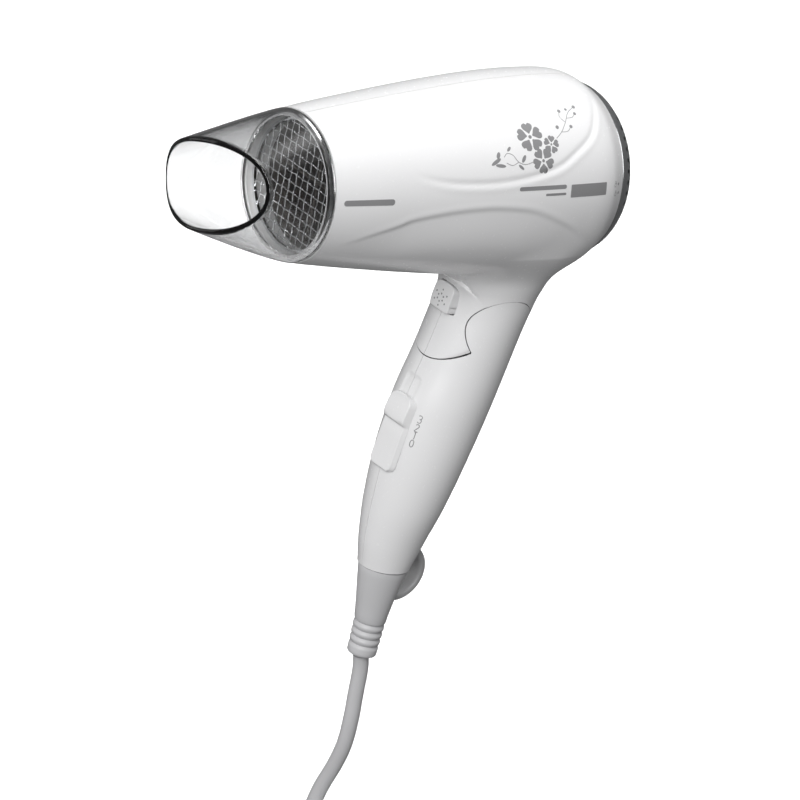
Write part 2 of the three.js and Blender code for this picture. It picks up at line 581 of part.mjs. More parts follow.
function plugBody() {
  const side = [[-6, 0], [6, 0], [8.5, -14], [17, -24], [18.5, -PLUG.body], [-18.5, -PLUG.body], [-17, -24],
    [-8.5, -14]];
  return slab(side.map(([dx, dz]) => [PLUG.x + dx, PLUG.top + dz]), -9, 9);
}
add('plug_body', plugBody(), 'grey');
for (const [k, side] of [-1, 1].entries()) {
  const place = alongZ(PLUG.x + side * PLUG.pitch / 2, 0, PLUG.top - PLUG.body - GAP);
  add(`plug_pin_${k + 1}`, disc(-PLUG.pin, 0, PLUG.pinR, 12, place), 'brass');
}

export default dryer;
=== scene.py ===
import json
import math

import bmesh
import bpy
import numpy as np
from mathutils import Matrix, Vector


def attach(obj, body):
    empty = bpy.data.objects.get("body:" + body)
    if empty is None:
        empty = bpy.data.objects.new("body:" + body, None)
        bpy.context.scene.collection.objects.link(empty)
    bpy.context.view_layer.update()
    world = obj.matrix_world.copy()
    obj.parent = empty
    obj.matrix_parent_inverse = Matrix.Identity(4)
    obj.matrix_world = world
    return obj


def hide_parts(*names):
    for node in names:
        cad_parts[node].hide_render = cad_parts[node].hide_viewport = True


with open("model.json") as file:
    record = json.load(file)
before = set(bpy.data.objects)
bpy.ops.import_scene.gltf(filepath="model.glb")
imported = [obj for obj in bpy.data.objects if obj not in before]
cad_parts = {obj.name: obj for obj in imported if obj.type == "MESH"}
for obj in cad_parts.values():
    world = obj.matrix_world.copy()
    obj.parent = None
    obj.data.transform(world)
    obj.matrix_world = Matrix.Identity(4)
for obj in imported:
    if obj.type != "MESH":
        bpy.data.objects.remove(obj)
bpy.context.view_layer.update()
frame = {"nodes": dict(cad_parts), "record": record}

# Lengths below are millimetres in the dryer's drawing frame: X along the barrel from its air outlet,
# Y across, Z up from the barrel's axis. mm() gives the row frame in metres.
# BARREL rows: x, radius. COLUMN rows, for the neck and grip: depth below the axis, x of the centre,
# reach towards the nozzle, reach towards the intake, half width.
ORIGIN = np.array([97.0, 0.0, -121.0])
GAP = 0.3
BARREL = [[0, 30.4], [14, 32.4], [28, 34.2], [50, 36.8], [76, 39.4], [97, 40.8], [118, 41.1], [131, 39.8],
          [139.5, 35.4]]
REAR = 139.5
COLUMN = [[24, 115.5, 41, 23, 32], [32, 115, 32, 22.5, 27], [38, 114.5, 27, 22, 24],
          [44, 113.8, 24, 21.3, 22], [50, 112.8, 20.8, 20.2, 20.6], [57, 111.5, 19.6, 19.6, 20],
          [65, 109.6, 19.4, 19.4, 19.7], [80, 106.2, 19.6, 19.6, 19.6], [100, 101.2, 20.2, 20.2, 19.7],
          [122, 96.7, 19, 19, 18.9], [143, 93.4, 16.8, 16.8, 16.6], [160, 91.1, 14, 14, 13],
          [172, 90.5, 11.6, 10.3, 10.8]]
HANDLE_END = 172
HINGE = {"x": 110, "z": -63.8, "tilt": 14.6, "seam_r": 15, "lobe_edge": 132}
SWING = {"r": 28.2, "y": 19, "clearance": 0.4}
MOUTH = {"width": 67.6, "height": 36.4, "middle": -43, "ends": -35.3, "turn": -17.5, "power": 2.25,
         "lift": 2.4}
NOZZLE = {"base_x": -0.4, "base_r": 30.4, "wall": 1.8}
SWITCH = {"drop": 110.5, "lean": 8.8}
BUTTON = {"drop": 55, "lean": 8}
CORD_R = 3.3
CAMERA_AT = (-1.5581, -1.7539, 0.9423)
CAMERA_TURNS = (41.3, 21.5, 12.4)


def mm(points):
    """Drawing-frame millimetres to row-frame metres."""
    return (np.asarray(points, dtype=float) - ORIGIN) / 1000


def linked(name, data):
    obj = bpy.data.objects.new(name, data)
    bpy.context.collection.objects.link(obj)
    return obj


def around(count):
    """Evenly spaced angles round a circle."""
    return np.arange(count) * 2 * math.pi / count


def columns(x, y, z):
    """Points from three coordinates, each a number or an array."""
    return np.stack(np.broadcast_arrays(x, y, z), axis=1).astype(float)


def step(v, low, high):
    """Smooth step from 0 at low to 1 at high."""
    t = np.clip((v - low) / (high - low), 0, 1)
    return t * t * (3 - 2 * t)


def powered(v, power):
    """A power that keeps its base's sign."""
    return np.sign(v) * np.abs(v) ** power


# ---- camera
HEADING, ELEVATION, ROLL = (math.radians(a) for a in CAMERA_TURNS)
level_right = Vector((math.cos(HEADING), -math.sin(HEADING), 0))
level_up = Vector((math.sin(HEADING) * math.sin(ELEVATION), math.cos(HEADING) * math.sin(ELEVATION),
                   math.cos(ELEVATION)))
back = Vector((-math.sin(HEADING) * math.cos(ELEVATION), -math.cos(HEADING) * math.cos(ELEVATION),
               math.sin(ELEVATION)))
right = level_right * math.cos(ROLL) + level_up * math.sin(ROLL)
up = level_up * math.cos(ROLL) - level_right * math.sin(ROLL)
camera = linked("camera", bpy.data.cameras.new("camera"))
camera.data.lens = 281.25
camera.data.sensor_width = 36
camera.data.clip_end = 50
camera.matrix_world = Matrix.Translation(CAMERA_AT) @ Matrix((right, up, back)).transposed().to_4x4()
bpy.context.scene.camera = camera


# ---- materials
def new_material(name):
    material = bpy.data.materials.new(name)
    material.use_nodes = True
    tree = material.node_tree
    return material, tree, tree.nodes["Principled BSDF"]


def link(tree, a, out, b, into):
    tree.links.new(a.outputs[out], b.inputs[into])


def set_inputs(node, **values):
    """Sets a node's inputs by name, with an underscore for each space in a name."""
    for name, value in values.items():
        node.inputs[name.replace("_", " ")].default_value = value
    return node


def add_node(tree, kind, **values):
    return set_inputs(tree.nodes.new("ShaderNode" + kind), **values)


def bump_from(tree, noise, shader, strength, distance):
    bump = add_node(tree, "Bump", Strength=strength, Distance=distance)
    link(tree, noise, "Fac", bump, "Height")
    link(tree, bump, "Normal", shader, "Normal")


def grained(tree, shader, scale, strength, distance=0.0002, detail=3):
    """Fine moulded grain, as bump from noise in object coordinates. Gives back both texture nodes."""
    place = add_node(tree, "TexCoord")
    noise = add_node(tree, "TexNoise", Scale=scale, Detail=detail)
    link(tree, place, "Object", noise, "Vector")
    bump_from(tree, noise, shader, strength, distance)
    return place, noise


def roughened(tree, noise, low, high, shader):
    """Roughness that follows a noise from low to high."""
    span = add_node(tree, "MapRange", To_Min=low, To_Max=high)
    link(tree, noise, "Fac", span, "Value")
    link(tree, span, "Result", shader, "Roughness")


def tinted(tree, noise, dark, light, shader):
    """Base colour varying between two close colours."""
    ramp = add_node(tree, "ValToRGB")
    for element, position, colour in zip(ramp.color_ramp.elements, (0.3, 0.7), (dark, light)):
        element.position = position
        element.color = (*colour, 1)
    link(tree, noise, "Fac", ramp, "Fac")
    link(tree, ramp, "Color", shader, "Base Color")


def plastic(name, colour, roughness, grain, strength, spread, coat=0.0, metal=0.0):
    material, tree, shader = new_material(name)
    place, noise = grained(tree, shader, grain, strength)
    cloud = add_node(tree, "TexNoise", Scale=35)
    link(tree, place, "Object", cloud, "Vector")
    low = [max(c - spread, 0) for c in colour]
    high = [min(c + spread, 1) for c in colour]
    tinted(tree, cloud, low, high, shader)
    roughened(tree, noise, roughness * 0.85, roughness * 1.15, shader)
    set_inputs(shader, Coat_Weight=coat, Coat_Roughness=0.12, Metallic=metal)
    return material


def brushed(name, colour, roughness, stretch=(4, 400, 400)):
    """Metal with fine drawn lines."""
    material, tree, shader = new_material(name)
    place = add_node(tree, "TexCoord")
    stretched = add_node(tree, "Mapping", Scale=stretch)
    noise = add_node(tree, "TexNoise", Scale=6)
    link(tree, place, "Object", stretched, "Vector")
    link(tree, stretched, "Vector", noise, "Vector")
    bump_from(tree, noise, shader, 0.15, 0.0001)
    tinted(tree, noise, [c * 0.85 for c in colour], colour, shader)
    roughened(tree, noise, roughness * 0.7, roughness * 1.3, shader)
    set_inputs(shader, Metallic=1)
    return material


def smoky_clear():
    """Clear plastic that greys with its thickness."""
    material, tree, shader = new_material("smoky_clear")
    noise = grained(tree, shader, 60, 0.03, 0.0003, 1)[1]
    roughened(tree, noise, 0.015, 0.045, shader)
    tinted(tree, noise, (0.90, 0.905, 0.91), (0.94, 0.945, 0.95), shader)
    set_inputs(shader, Transmission_Weight=1, IOR=1.5)
    smoke = add_node(tree, "VolumeAbsorption", Color=(0.1, 0.1, 0.1, 1), Density=160)
    link(tree, smoke, "Volume", tree.nodes["Material Output"], "Volume")
    return material


# Slot: name, colour, roughness, grain, its strength, spread of colour, coat, metal.
PLASTICS = {
    "body_white": ("gloss_white", (0.87, 0.87, 0.875), 0.26, 700, 0.015, 0.006, 0.2),
    "inner_white": ("satin_white", (0.8, 0.8, 0.8), 0.38, 1400, 0.06, 0.01),
    "cord_grey": ("cord_grey", (0.60, 0.60, 0.61), 0.42, 1600, 0.12, 0.015),
    "loop_grey": ("loop_grey", (0.42, 0.42, 0.425), 0.34, 1300, 0.1, 0.02),
    "cover_silver": ("metallised_cover", (0.30, 0.305, 0.31), 0.2, 700, 0.04, 0.02, 0.5, 0.75),
    "black_plastic": ("satin_black", (0.035, 0.035, 0.038), 0.4, 900, 0.12, 0.01),
    "grey_plastic": ("satin_grey", (0.42, 0.42, 0.43), 0.42, 1000, 0.1, 0.02),
    "mica": ("mica", (0.13, 0.12, 0.105), 0.45, 260, 0.25, 0.03),
    "filter_grey": ("filter_mesh", (0.16, 0.16, 0.17), 0.6, 2600, 0.6, 0.03),
    "circuit_board": ("solder_mask", (0.04, 0.18, 0.08), 0.35, 500, 0.1, 0.02),
    "capacitor_yellow": ("film_capacitor", (0.62, 0.4, 0.03), 0.35, 600, 0.08, 0.03),
    "lead_black": ("lead_black", (0.03, 0.03, 0.03), 0.45, 1200, 0.1, 0.01),
    "lead_blue": ("lead_blue", (0.04, 0.12, 0.4), 0.42, 1200, 0.1, 0.02)}
METALS = {
    "steel": ("drawn_steel", (0.66, 0.67, 0.68), 0.25),
    "brass": ("brass", (0.72, 0.52, 0.24), 0.22),
    "heating_wire": ("heating_wire", (0.24, 0.20, 0.18), 0.35)}
BY_SLOT = {slot: plastic(*row) for slot, row in PLASTICS.items()}
BY_SLOT.update({slot: brushed(*row) for slot, row in METALS.items()})
BY_SLOT["clear_plastic"] = smoky_clear()
MARK_GREY = plastic("mark_grey", (0.27, 0.27, 0.275), 0.34, 900, 0.03, 0.01)
BRIGHT_WIRE = brushed("bright_wire", (0.86, 0.87, 0.88), 0.12, (60, 60, 60))
for part in frame["record"]["subparts"]:
    node = frame["nodes"][part["node"]]
    node.data.materials.clear()
    node.data.materials.append(BY_SLOT[part["material_slot"]])


# ---- mesh helpers
def mesh_from(name, points, faces, weld=0.0):
    """A mesh from drawing-frame points, with its faces turned outwards."""
    mesh = bpy.data.meshes.new(name)
    mesh.from_pydata(mm(points).tolist(), [], [list(map(int, f)) for f in faces])
    work = bmesh.new()
    work.from_mesh(mesh)
    if weld:
        bmesh.ops.remove_doubles(work, verts=work.verts, dist=weld)
    bmesh.ops.recalc_face_normals(work, faces=work.faces)
    work.to_mesh(mesh)
    work.free()
    return mesh


def bevelled(obj, name, width, segments, degrees):
    """Rounds the edges sharper than an angle, by a width in millimetres."""
    edge = obj.modifiers.new(name, "BEVEL")
    edge.width = width / 1000
    edge.segments = segments
    edge.angle_limit = math.radians(degrees)
    edge.harden_normals = True


def piece(name, points, faces, body, slot, hides=(), crease=35, round_edges=0.0, material=None):
    """A mesh piece from drawing-frame points, riding on a body and standing for CAD nodes."""
    mesh = mesh_from(name, points, faces, 1e-7)
    obj = linked(name, mesh)
    mesh.shade_smooth()
    if round_edges:
        bevelled(obj, "rounding", round_edges, 3, crease)
    mesh.set_sharp_from_angle(angle=math.radians(crease))
    mesh.materials.append(material or BY_SLOT[slot])
    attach(obj, body)
    if hides:
        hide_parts(*hides)
    return obj


def tube_of(rings, close=False):
    """Points and faces through rings, the last joined to the first or both ends capped."""
    rings = [np.asarray(r, dtype=float) for r in rings]
    count, rows = len(rings[0]), len(rings)
    faces = []
    for i in range(rows if close else rows - 1):
        a, b = i * count, (i + 1) % rows * count
        for j in range(count):
            k = (j + 1) % count
            faces.append([a + j, a + k, b + k, b + j])
    if not close:
        faces.append(list(range(count))[::-1])
        faces.append([(rows - 1) * count + j for j in range(count)])
    return np.concatenate(rings), faces


def ring_yz(x, r, count=96):
    a = around(count)
    return columns(x, r * np.cos(a), r * np.sin(a))


def turned(profile, count=96, close=True):
    """Body of revolution about X from [x, r] points, a closed profile or one capped at its ends."""
    return tube_of([ring_yz(x, r, count) for x, r in profile], close)


def merged(*bodies):
    """Several bodies as one list of points and one of faces."""
    points, faces, start = [], [], 0
    for p, f in bodies:
        points.append(np.asarray(p, dtype=float))
        faces += [[start + i for i in face] for face in f]
        start += len(p)
    return np.concatenate(points), faces


def moved(points, matrix):
    """Points moved by a 4x4 in millimetres."""
    m = np.array(matrix)
    return points @ m[:3, :3].T + m[:3, 3]


def placed(body, matrix):
    points, faces = body
    return moved(points, matrix), faces


def local(matrix, points):
    return moved(points, matrix.inverted())


def framed(x, z, degrees):
    """Local frame on the middle plane, turned about Y."""
    return Matrix.Translation((x, 0, z)) @ Matrix.Rotation(math.radians(degrees), 4, "Y")


def smooth_line(points, steps):
    """Catmull-Rom points through the given ones."""
    p = np.asarray(points, dtype=float)
    last = len(p) - 1
    out = []
    for i in range(last):
        a, b, c, d = p[max(i - 1, 0)], p[i], p[i + 1], p[min(i + 2, last)]
        for k in range(steps):
            t = k / steps
            out.append(0.5 * (2 * b + (c - a) * t + (2 * a - 5 * b + 4 * c - d) * t * t
                              + (3 * b - a - 3 * c + d) * t ** 3))
    return np.array([*out, p[-1]])


# ---- power cord, hank, tail and plug
HANK = {"x": 92, "top": -290, "r": 20.5, "straight": 99, "turns": 5, "pitch": 6.9}
HANK["z0"] = HANK["top"] - HANK["r"] - CORD_R - 0.7
HANK["z1"] = HANK["z0"] - HANK["straight"]
TAIL_X = HANK["x"] - HANK["r"] - 2 * CORD_R - 1.2
TAIL_BEND = 26
PLUG = {"x": TAIL_X - 2 * TAIL_BEND, "top": -362, "body": 38, "pitch": 19, "pin_r": 2.4}
BOOT = {"x": 90.5, "z": -172.8, "length": 40, "lean": 2.7}
boot_frame = framed(BOOT["x"], BOOT["z"], 90 + BOOT["lean"])


def cord_route():
    """From the boot's end down to the hank, round it five times and out to the plug."""
    x, r, z0, z1 = HANK["x"], HANK["r"], HANK["z0"], HANK["z1"]
    layer = [HANK["pitch"] * (2 - k) for k in range(HANK["turns"])]
    start = np.array(boot_frame @ Vector((BOOT["length"] + 2 * GAP, 0, 0)))
    route = [start, (90.05, 0, -220), (90.5, 0, -232), (91.1, 0.1, -244), (91.6, 1.4, -256)]
    route += [(91.9, 5.2, -268), (92, 10, -279.5), (92.3, 13.1, -290), (93, layer[0], -300)]
    for k in range(1, 6):
        route.append((93 + (x + r - 93) * step(k, 0, 5), layer[0], -300 - 55 * k / 5))
    for turn in range(HANK["turns"]):
        y = layer[turn]
        for z in np.linspace(-375 if turn == 0 else z0 - 18, z1 + 16, 4):
            route.append((x + r, y, z))
        for k in range(9):
            a = -math.pi * k / 8
            route.append((x + r * math.cos(a), y, z1 + r * math.sin(a)))
        if turn == HANK["turns"] - 1:
            break
        below = layer[turn + 1]
        for k in range(1, 6):
            z = z1 + (z0 - z1) * k / 6
            route.append((x - r, y + (below - y) * step(k, 0, 6), z))
        for k in range(9):
            a = math.pi - math.pi * k / 8
            route.append((x + r * math.cos(a), below, z0 + r * math.sin(a)))
    y = layer[-1]
    for k in range(6):
        z = z1 + 12 + (-354 - z1 - 12) * k / 5
        route.append((x - r + (TAIL_X - x + r) * step(z, -392, -354), y, z))
    route += [(TAIL_X, 0.97 * y, -342), (TAIL_X, 0.86 * y, -330)]
    for k in range(7):
        a = math.pi * k / 6
        route.append((TAIL_X - TAIL_BEND * (1 - math.cos(a)), y * (0.35 + 0.35 * math.cos(a)),
                      -318 + TAIL_BEND * math.sin(a)))
    route += [(PLUG["x"], 0, -332), (PLUG["x"], 0, -346), (PLUG["x"], 0, PLUG["top"] + GAP)]
    return np.array(route, dtype=float)


route = smooth_line(cord_route(), 4)
curve = bpy.data.curves.new("mains_cord", "CURVE")
curve.dimensions = "3D"
curve.bevel_depth = CORD_R / 1000
curve.bevel_resolution = 6
curve.use_fill_caps = True
spline = curve.splines.new("POLY")
spline.points.add(len(route) - 1)
for point, at in zip(spline.points, mm(route)):
    point.co = (*at, 1)
spline.use_smooth = True
curve.materials.append(BY_SLOT["cord_grey"])
mains_cord = linked("mains_cord", curve)
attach(mains_cord, "handle")
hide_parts("cord", "cord_hank", "cord_tail")


def superellipse(width, depth, z, x, power, count=48):
    """Level outline, rounder or squarer by its power."""
    c, s = np.cos(around(count)), np.sin(around(count))
    return columns(x + width * powered(c, 2 / power), depth * powered(s, 2 / power), z)


# Rows: distance down the plug, half width, half depth, power of its outline.
plug_shape = [[0, 4.6, 4.6, 2], [0.6, 5.4, 5.2, 2], [6, 6.0, 5.8, 2], [7, 5.4, 5.3, 2], [8, 6.2, 6.0, 2],
              [13, 7.6, 6.9, 2.2], [18, 11.5, 8.0, 2.6], [24, 16.2, 8.8, 3], [28, 17.8, 9, 3.4],
              [36.4, 18.4, 9, 3.6], [37.6, 17.8, 8.5, 3.6], [38, 17, 7.9, 3.6]]
plug_body = piece("mains_plug", *tube_of([superellipse(w, d, PLUG["top"] - z, PLUG["x"], p)
                                          for z, w, d, p in plug_shape]),
                  "handle", "cord_grey", ["plug_body"])
for k, side in enumerate((-1, 1)):
    x = PLUG["x"] + side * PLUG["pitch"] / 2
    top = PLUG["top"] - PLUG["body"] - GAP
    r = PLUG["pin_r"]
    sleeve = [(0, r), (1, r), (9.8, r), (10, r - 0.15), (10.2, r), (17.6, r), (18.6, r * 0.72), (19, r * 0.3)]
    rings = [superellipse(q, q, top - z, x, 2, 24) for z, q in sleeve]
    pin = piece(f"mains_plug_pin_{k + 1}", *tube_of(rings), "handle", "brass", [f"plug_pin_{k + 1}"])
    pin.data.materials.append(BY_SLOT["black_plastic"])
    for face in pin.data.polygons:
        face.material_index = 1 if face.center.z * 1000 + ORIGIN[2] > top - 10 else 0

TIE_Z = -393


def tie_ring(z, grow):
    """Band round the hank, pulled in between the turns."""
    c, s = np.cos(around(72)), np.sin(around(72))
    half_x, half_y = HANK["r"] + CORD_R + 0.5 + grow, HANK["turns"] * HANK["pitch"] / 2 + 0.2 + grow
    x = HANK["x"] + half_x * powered(c, 0.4)
    waist = 1 - 0.12 * np.cos(math.pi * (x - HANK["x"]) / half_x / 2) ** 2
    return columns(x, half_y * powered(s, 0.4) * waist, z)


band = [(-4.2, 0), (-4.2, 1.0), (-3.6, 1.3), (3.6, 1.3), (4.2, 1.0), (4.2, 0)]
tie = piece("cord_tie_band", *tube_of([tie_ring(TIE_Z + dz, g) for dz, g in band], close=True),
            "handle", "black_plastic", ["cord_tie"])
cord_exit = mm([route[0]])[0]


# ---- outer skin as a distance field
def table(rows, keys, column=1):
    """Smooth lookup of many keys in rows sorted by their first number."""
    rows = np.asarray(rows, dtype=float)
    last = len(rows) - 1
    i = np.clip(np.searchsorted(rows[:, 0], keys) - 1, 0, last - 1)

    def slope(k):
        a, b = np.maximum(k - 1, 0), np.minimum(k + 1, last)
        return (rows[b, column] - rows[a, column]) / (rows[b, 0] - rows[a, 0])

    span = rows[i + 1, 0] - rows[i, 0]
    t = np.clip((keys - rows[i, 0]) / span, 0, 1)
    h = t * t * (3 - 2 * t)
    near = rows[i, column] * (1 - h) + rows[i + 1, column] * h
    return near + span * t * (1 - t) * ((1 - t) * slope(i) - t * slope(i + 1))


def looked_up(rows, key, column=1):
    return float(table(rows, np.array([float(key)]), column)[0])


def barrel_field(p):
    """Distance outside the barrel."""
    return np.hypot(p[:, 1], p[:, 2]) - table(BARREL, p[:, 0])


def column_field(p):
    """Roughly the distance outside the neck and grip."""
    drop = -p[:, 2]
    centre, fore, aft, wide = (table(COLUMN, drop, k) for k in (1, 2, 3, 4))
    dx = p[:, 0] - centre
    depth = np.where(dx < 0, fore, aft)
    reach = np.hypot(dx, p[:, 1])
    q = np.sqrt((dx / depth) ** 2 + (p[:, 1] / wide) ** 2)
    return np.maximum(reach * (1 - 1 / np.maximum(q, 1e-6)), 12 - drop)


# Character lines on the barrel's sides: [x, degrees above the side's middle].
PANEL_LINE = [[33, 28], [39.2, 23.8], [50.9, 19.7], [64.2, 18.2], [75.9, 18.5], [88.7, 20.5], [102.1, 25],
              [111.3, 32], [120.9, 41.6], [126.4, 54.4], [130, 68], [131.5, 82]]
LOWER_LINE = [[4, -30], [10.4, -24.3], [19.6, -16.1], [30.6, -8.5], [37, -4.1], [52.3, 0.4], [68.7, 2.5],
              [81.5, 1.9], [93, -0.4], [105.3, -6.7], [114.1, -12.8], [121.8, -21], [127, -29]]


def beside_line(p, line):
    """Signed distance below a line on the barrel's side, and how far along it (0 to 1), in mm."""
    r = table(BARREL, p[:, 0])
    at = np.stack([p[:, 0], np.arctan2(p[:, 2], np.abs(p[:, 1])) * r], axis=1)
    dense = smooth_line(line, 6)
    dense = np.stack([dense[:, 0], np.radians(dense[:, 1]) * table(BARREL, dense[:, 0])], axis=1)
    best = np.full(len(p), 1e9)
    side = np.zeros(len(p))
    share = np.zeros(len(p))
    for k in range(len(dense) - 1):
        a, d = dense[k], dense[k + 1] - dense[k]
        rel = at - a
        t = np.clip(rel @ d / (d @ d), 0, 1)
        off = rel - t[:, None] * d
        dist = np.hypot(off[:, 0], off[:, 1])
        nearer = dist < best
        best[nearer] = dist[nearer]
        side[nearer] = np.sign(d[1] * rel[:, 0] - d[0] * rel[:, 1])[nearer]
        share[nearer] = ((k + t) / (len(dense) - 1))[nearer]
    return best * side, share


def character(p):
    """Depth of the character lines below the plain skin, in mm."""
    out = np.zeros(len(p))
    near = (barrel_field(p) < 6) & (barrel_field(p) > -6)
    q = p[near]
    panel, along = beside_line(q, PANEL_LINE)
    fade = step(along, 0.02, 0.25) * (1 - step(along, 0.72, 0.95))
    groove = 0.42 * np.exp(-(panel / 1.15) ** 2) - 0.16 * np.exp(-((panel - 2.6) / 1.3) ** 2)
    lower, share = beside_line(q, LOWER_LINE)
    ends = step(share, 0.02, 0.3) * (1 - step(share, 0.8, 0.99))
    ledge = 0.75 * step(lower, -1.2, 1.6) * (1 - step(lower, 3, 20))
    ledge -= 0.12 * np.exp(-((lower + 1.6) / 1.2) ** 2)
    out[near] = groove * fade + ledge * ends
    return out


def skin(p):
    """Roughly the distance outside the dryer's skin: barrel and column blended, with lines and track."""
    a, b = barrel_field(p), column_field(p)
    h = np.maximum(7 - np.abs(a - b), 0) / 7
    track = np.zeros(len(p))
    near = (p[:, 2] < -80) & (p[:, 2] > -130)
    track[near] = TRACK["depth"] * (1 - step(track_outline(p[near]), -0.35, 0.35))
    return np.minimum(a, b) - h * h * 7 / 4 + character(p) + track


def slope_of(field, p, e=0.05):
    """Gradient of a field at points."""
    out = np.zeros_like(p)
    for k in range(3):
        move = np.zeros(3)
        move[k] = e
        out[:, k] = (field(p + move) - field(p - move)) / (2 * e)
    return out


def settle(p, field, rounds=3):
    """Moves points along the field's slope onto its zero surface."""
    for _ in range(rounds):
        g = slope_of(field, p)
        p = p - field(p)[:, None] * g / np.maximum((g * g).sum(axis=1), 0.2)[:, None]
    return p


def column_ring(drop, count=64):
    """Level section of the neck or grip at a depth below the barrel's axis."""
    a = (np.arange(count) + 0.5) * 2 * math.pi / count
    centre, fore, aft, wide = (looked_up(COLUMN, drop, k) for k in (1, 2, 3, 4))
    return columns(centre + np.where(np.cos(a) < 0, fore, aft) * np.cos(a), wide * np.sin(a), -drop)


def skin_mesh():
    """Barrel and column as one even mesh, not yet settled on the skin."""
    xs = np.linspace(-3, REAR + 3, 48)
    rows = [[float(x), looked_up(BARREL, x)] for x in xs]
    barrel = turned([[xs[0], 0.5], *rows, [xs[-1], 0.5]], 96, close=False)
    column = tube_of([column_ring(d) for d in np.linspace(14, HANDLE_END + 3, 60)])
    points, faces = merged(barrel, column)
    mesh = bpy.data.meshes.new("skin")
    mesh.from_pydata((points / 1000).tolist(), [], faces)
    obj = linked("skin", mesh)
    remesh = obj.modifiers.new("remesh", "REMESH")
    remesh.mode = "VOXEL"
    remesh.voxel_size = 0.0008
    fine = obj.evaluated_get(bpy.context.evaluated_depsgraph_get()).to_mesh()
    at = np.empty(len(fine.vertices) * 3)
    fine.vertices.foreach_get("co", at)
    quads = [list(f.vertices) for f in fine.polygons]
    at = at.reshape(-1, 3) * 1000
    bpy.data.objects.remove(obj)
    bpy.data.meshes.remove(mesh)
    return at, quads


def clip(points, faces, field):
    """The part of a surface where the field is below zero, cut cleanly along its zero line."""
    points = points.copy()
    value = field(points)
    close = np.where(np.abs(value) < 0.28)[0]
    for _ in range(2):
        g = slope_of(field, points[close])
        n = slope_of(skin, points[close])
        n /= np.linalg.norm(n, axis=1)[:, None]
        g -= (g * n).sum(axis=1)[:, None] * n
        shift = field(points[close])[:, None] * g / np.maximum((g * g).sum(axis=1), 0.15)[:, None]
        points[close] -= shift
        points[close] = settle(points[close], skin, 1)
    value = field(points)
    value[close] = 0.0
    corner = [p for p in points]
    made = {}
    out = []
    for f in faces:
        v = [value[i] for i in f]
        if max(v) <= 0:
            if min(v) < 0:
                out.append(f)
            continue
        if min(v) >= 0:
            continue
        new = []
        for k, i in enumerate(f):
            j = f[(k + 1) % len(f)]
            if value[i] <= 0:
                new.append(i)
            if value[i] * value[j] < 0:
                key = (min(i, j), max(i, j))
                if key not in made:
                    t = value[i] / (value[i] - value[j])
                    made[key] = len(corner)
                    corner.append(points[i] + t * (points[j] - points[i]))
                new.append(made[key])
        if len(new) > 2:
            out.append(new)
    points = np.array(corner)
    used = sorted({i for f in out for i in f})
    index = {i: k for k, i in enumerate(used)}
    return points[used], [[index[i] for i in f] for f in out]


def hinge_uv(p):
    """Coordinates about the fold hinge: away from the nozzle and down, tilted with the grip."""
    t = math.radians(HINGE["tilt"])
    dx, dz = p[:, 0] - HINGE["x"], p[:, 2] - HINGE["z"]
    return dx * math.cos(t) - dz * math.sin(t), -dx * math.sin(t) - dz * math.cos(t)


def handle_side(p):
    """Below zero on the handle's side of the fold seam: a disc and a wedge about the hinge."""
    u, s = hinge_uv(p)
    edge = math.radians(HINGE["lobe_edge"])
    wedge = np.maximum(-s, math.cos(edge) * s - math.sin(edge) * u)
    return np.minimum(np.hypot(u, s) - HINGE["seam_r"], wedge)


def hinge_polar(p):
    """Distance from the hinge and angle about it in degrees, 0 to 360."""
    u, s = hinge_uv(p)
    return np.hypot(u, s), np.degrees(np.arctan2(s, u)) % 360


def swing_field(p, inset):
    """The body of revolution about the hinge in which the neck's front lobe passes the handle's lip."""
    q = np.sqrt((hinge_polar(p)[0] / (SWING["r"] - inset)) ** 2 + (p[:, 1] / (SWING["y"] - inset)) ** 2)
    return (q - 1) * SWING["y"]


def front_frame(at):
    """Local frame on the column's front: local -X points out, local +Z up along it."""
    front = looked_up(COLUMN, at["drop"], 1) - looked_up(COLUMN, at["drop"], 2)
    return framed(front, -at["drop"], at["lean"])


switch_frame, button_frame = front_frame(SWITCH), front_frame(BUTTON)


def rounded_box_field(y, z, half, low, high, corner):
    """Distance to a rounded rectangle in two coordinates."""
    qy = np.abs(y) - half + corner
    qz = np.abs(z - (low + high) / 2) - (high - low) / 2 + corner
    outside = np.hypot(np.maximum(qy, 0), np.maximum(qz, 0))
    return outside + np.minimum(np.maximum(qy, qz), 0) - corner


def arch_field(y, z, half, foot, crown, corner, rise):
    """Distance to an outline with a straight foot and a head that arches up by rise."""
    low = rounded_box_field(y, z, half, foot, crown + 20, corner)
    q = (np.abs(y / half) ** 2.6 + np.maximum((z - crown + rise) / rise, 0) ** 2.6) ** (1 / 2.6)
    return np.where(z > crown - rise, np.maximum(low, (q - 1) * rise), low)


TRACK = {"half": 4.3, "low": -12, "high": 23.5, "corner": 1.5, "depth": 0.65}
KNOB = {"half": 7.6, "foot": -17.2, "crown": 15.2, "corner": 3, "rise": 4.4, "travel": 10}
CAP = {"half": 6, "foot": -4.3, "crown": 7.3, "corner": 1.2, "rise": 3.4}


def track_outline(p):
    """The shallow track in which the slide switch runs."""
    q = local(switch_frame, p)
    v = rounded_box_field(q[:, 1], q[:, 2], TRACK["half"], TRACK["low"], TRACK["high"], TRACK["corner"])
    return np.where(q[:, 0] > 12, 20.0, v)


def column_front(matrix, y, z):
    """Local X of the column's front under points of a local frame."""
    low, high = np.full(len(y), -5.0), np.full(len(y), 9.0)
    for _ in range(26):
        middle = (low + high) / 2
        outside = column_field(moved(columns(middle, y, z), matrix)) > 0
        low, high = np.where(outside, middle, low), np.where(outside, high, middle)
    return (low + high) / 2


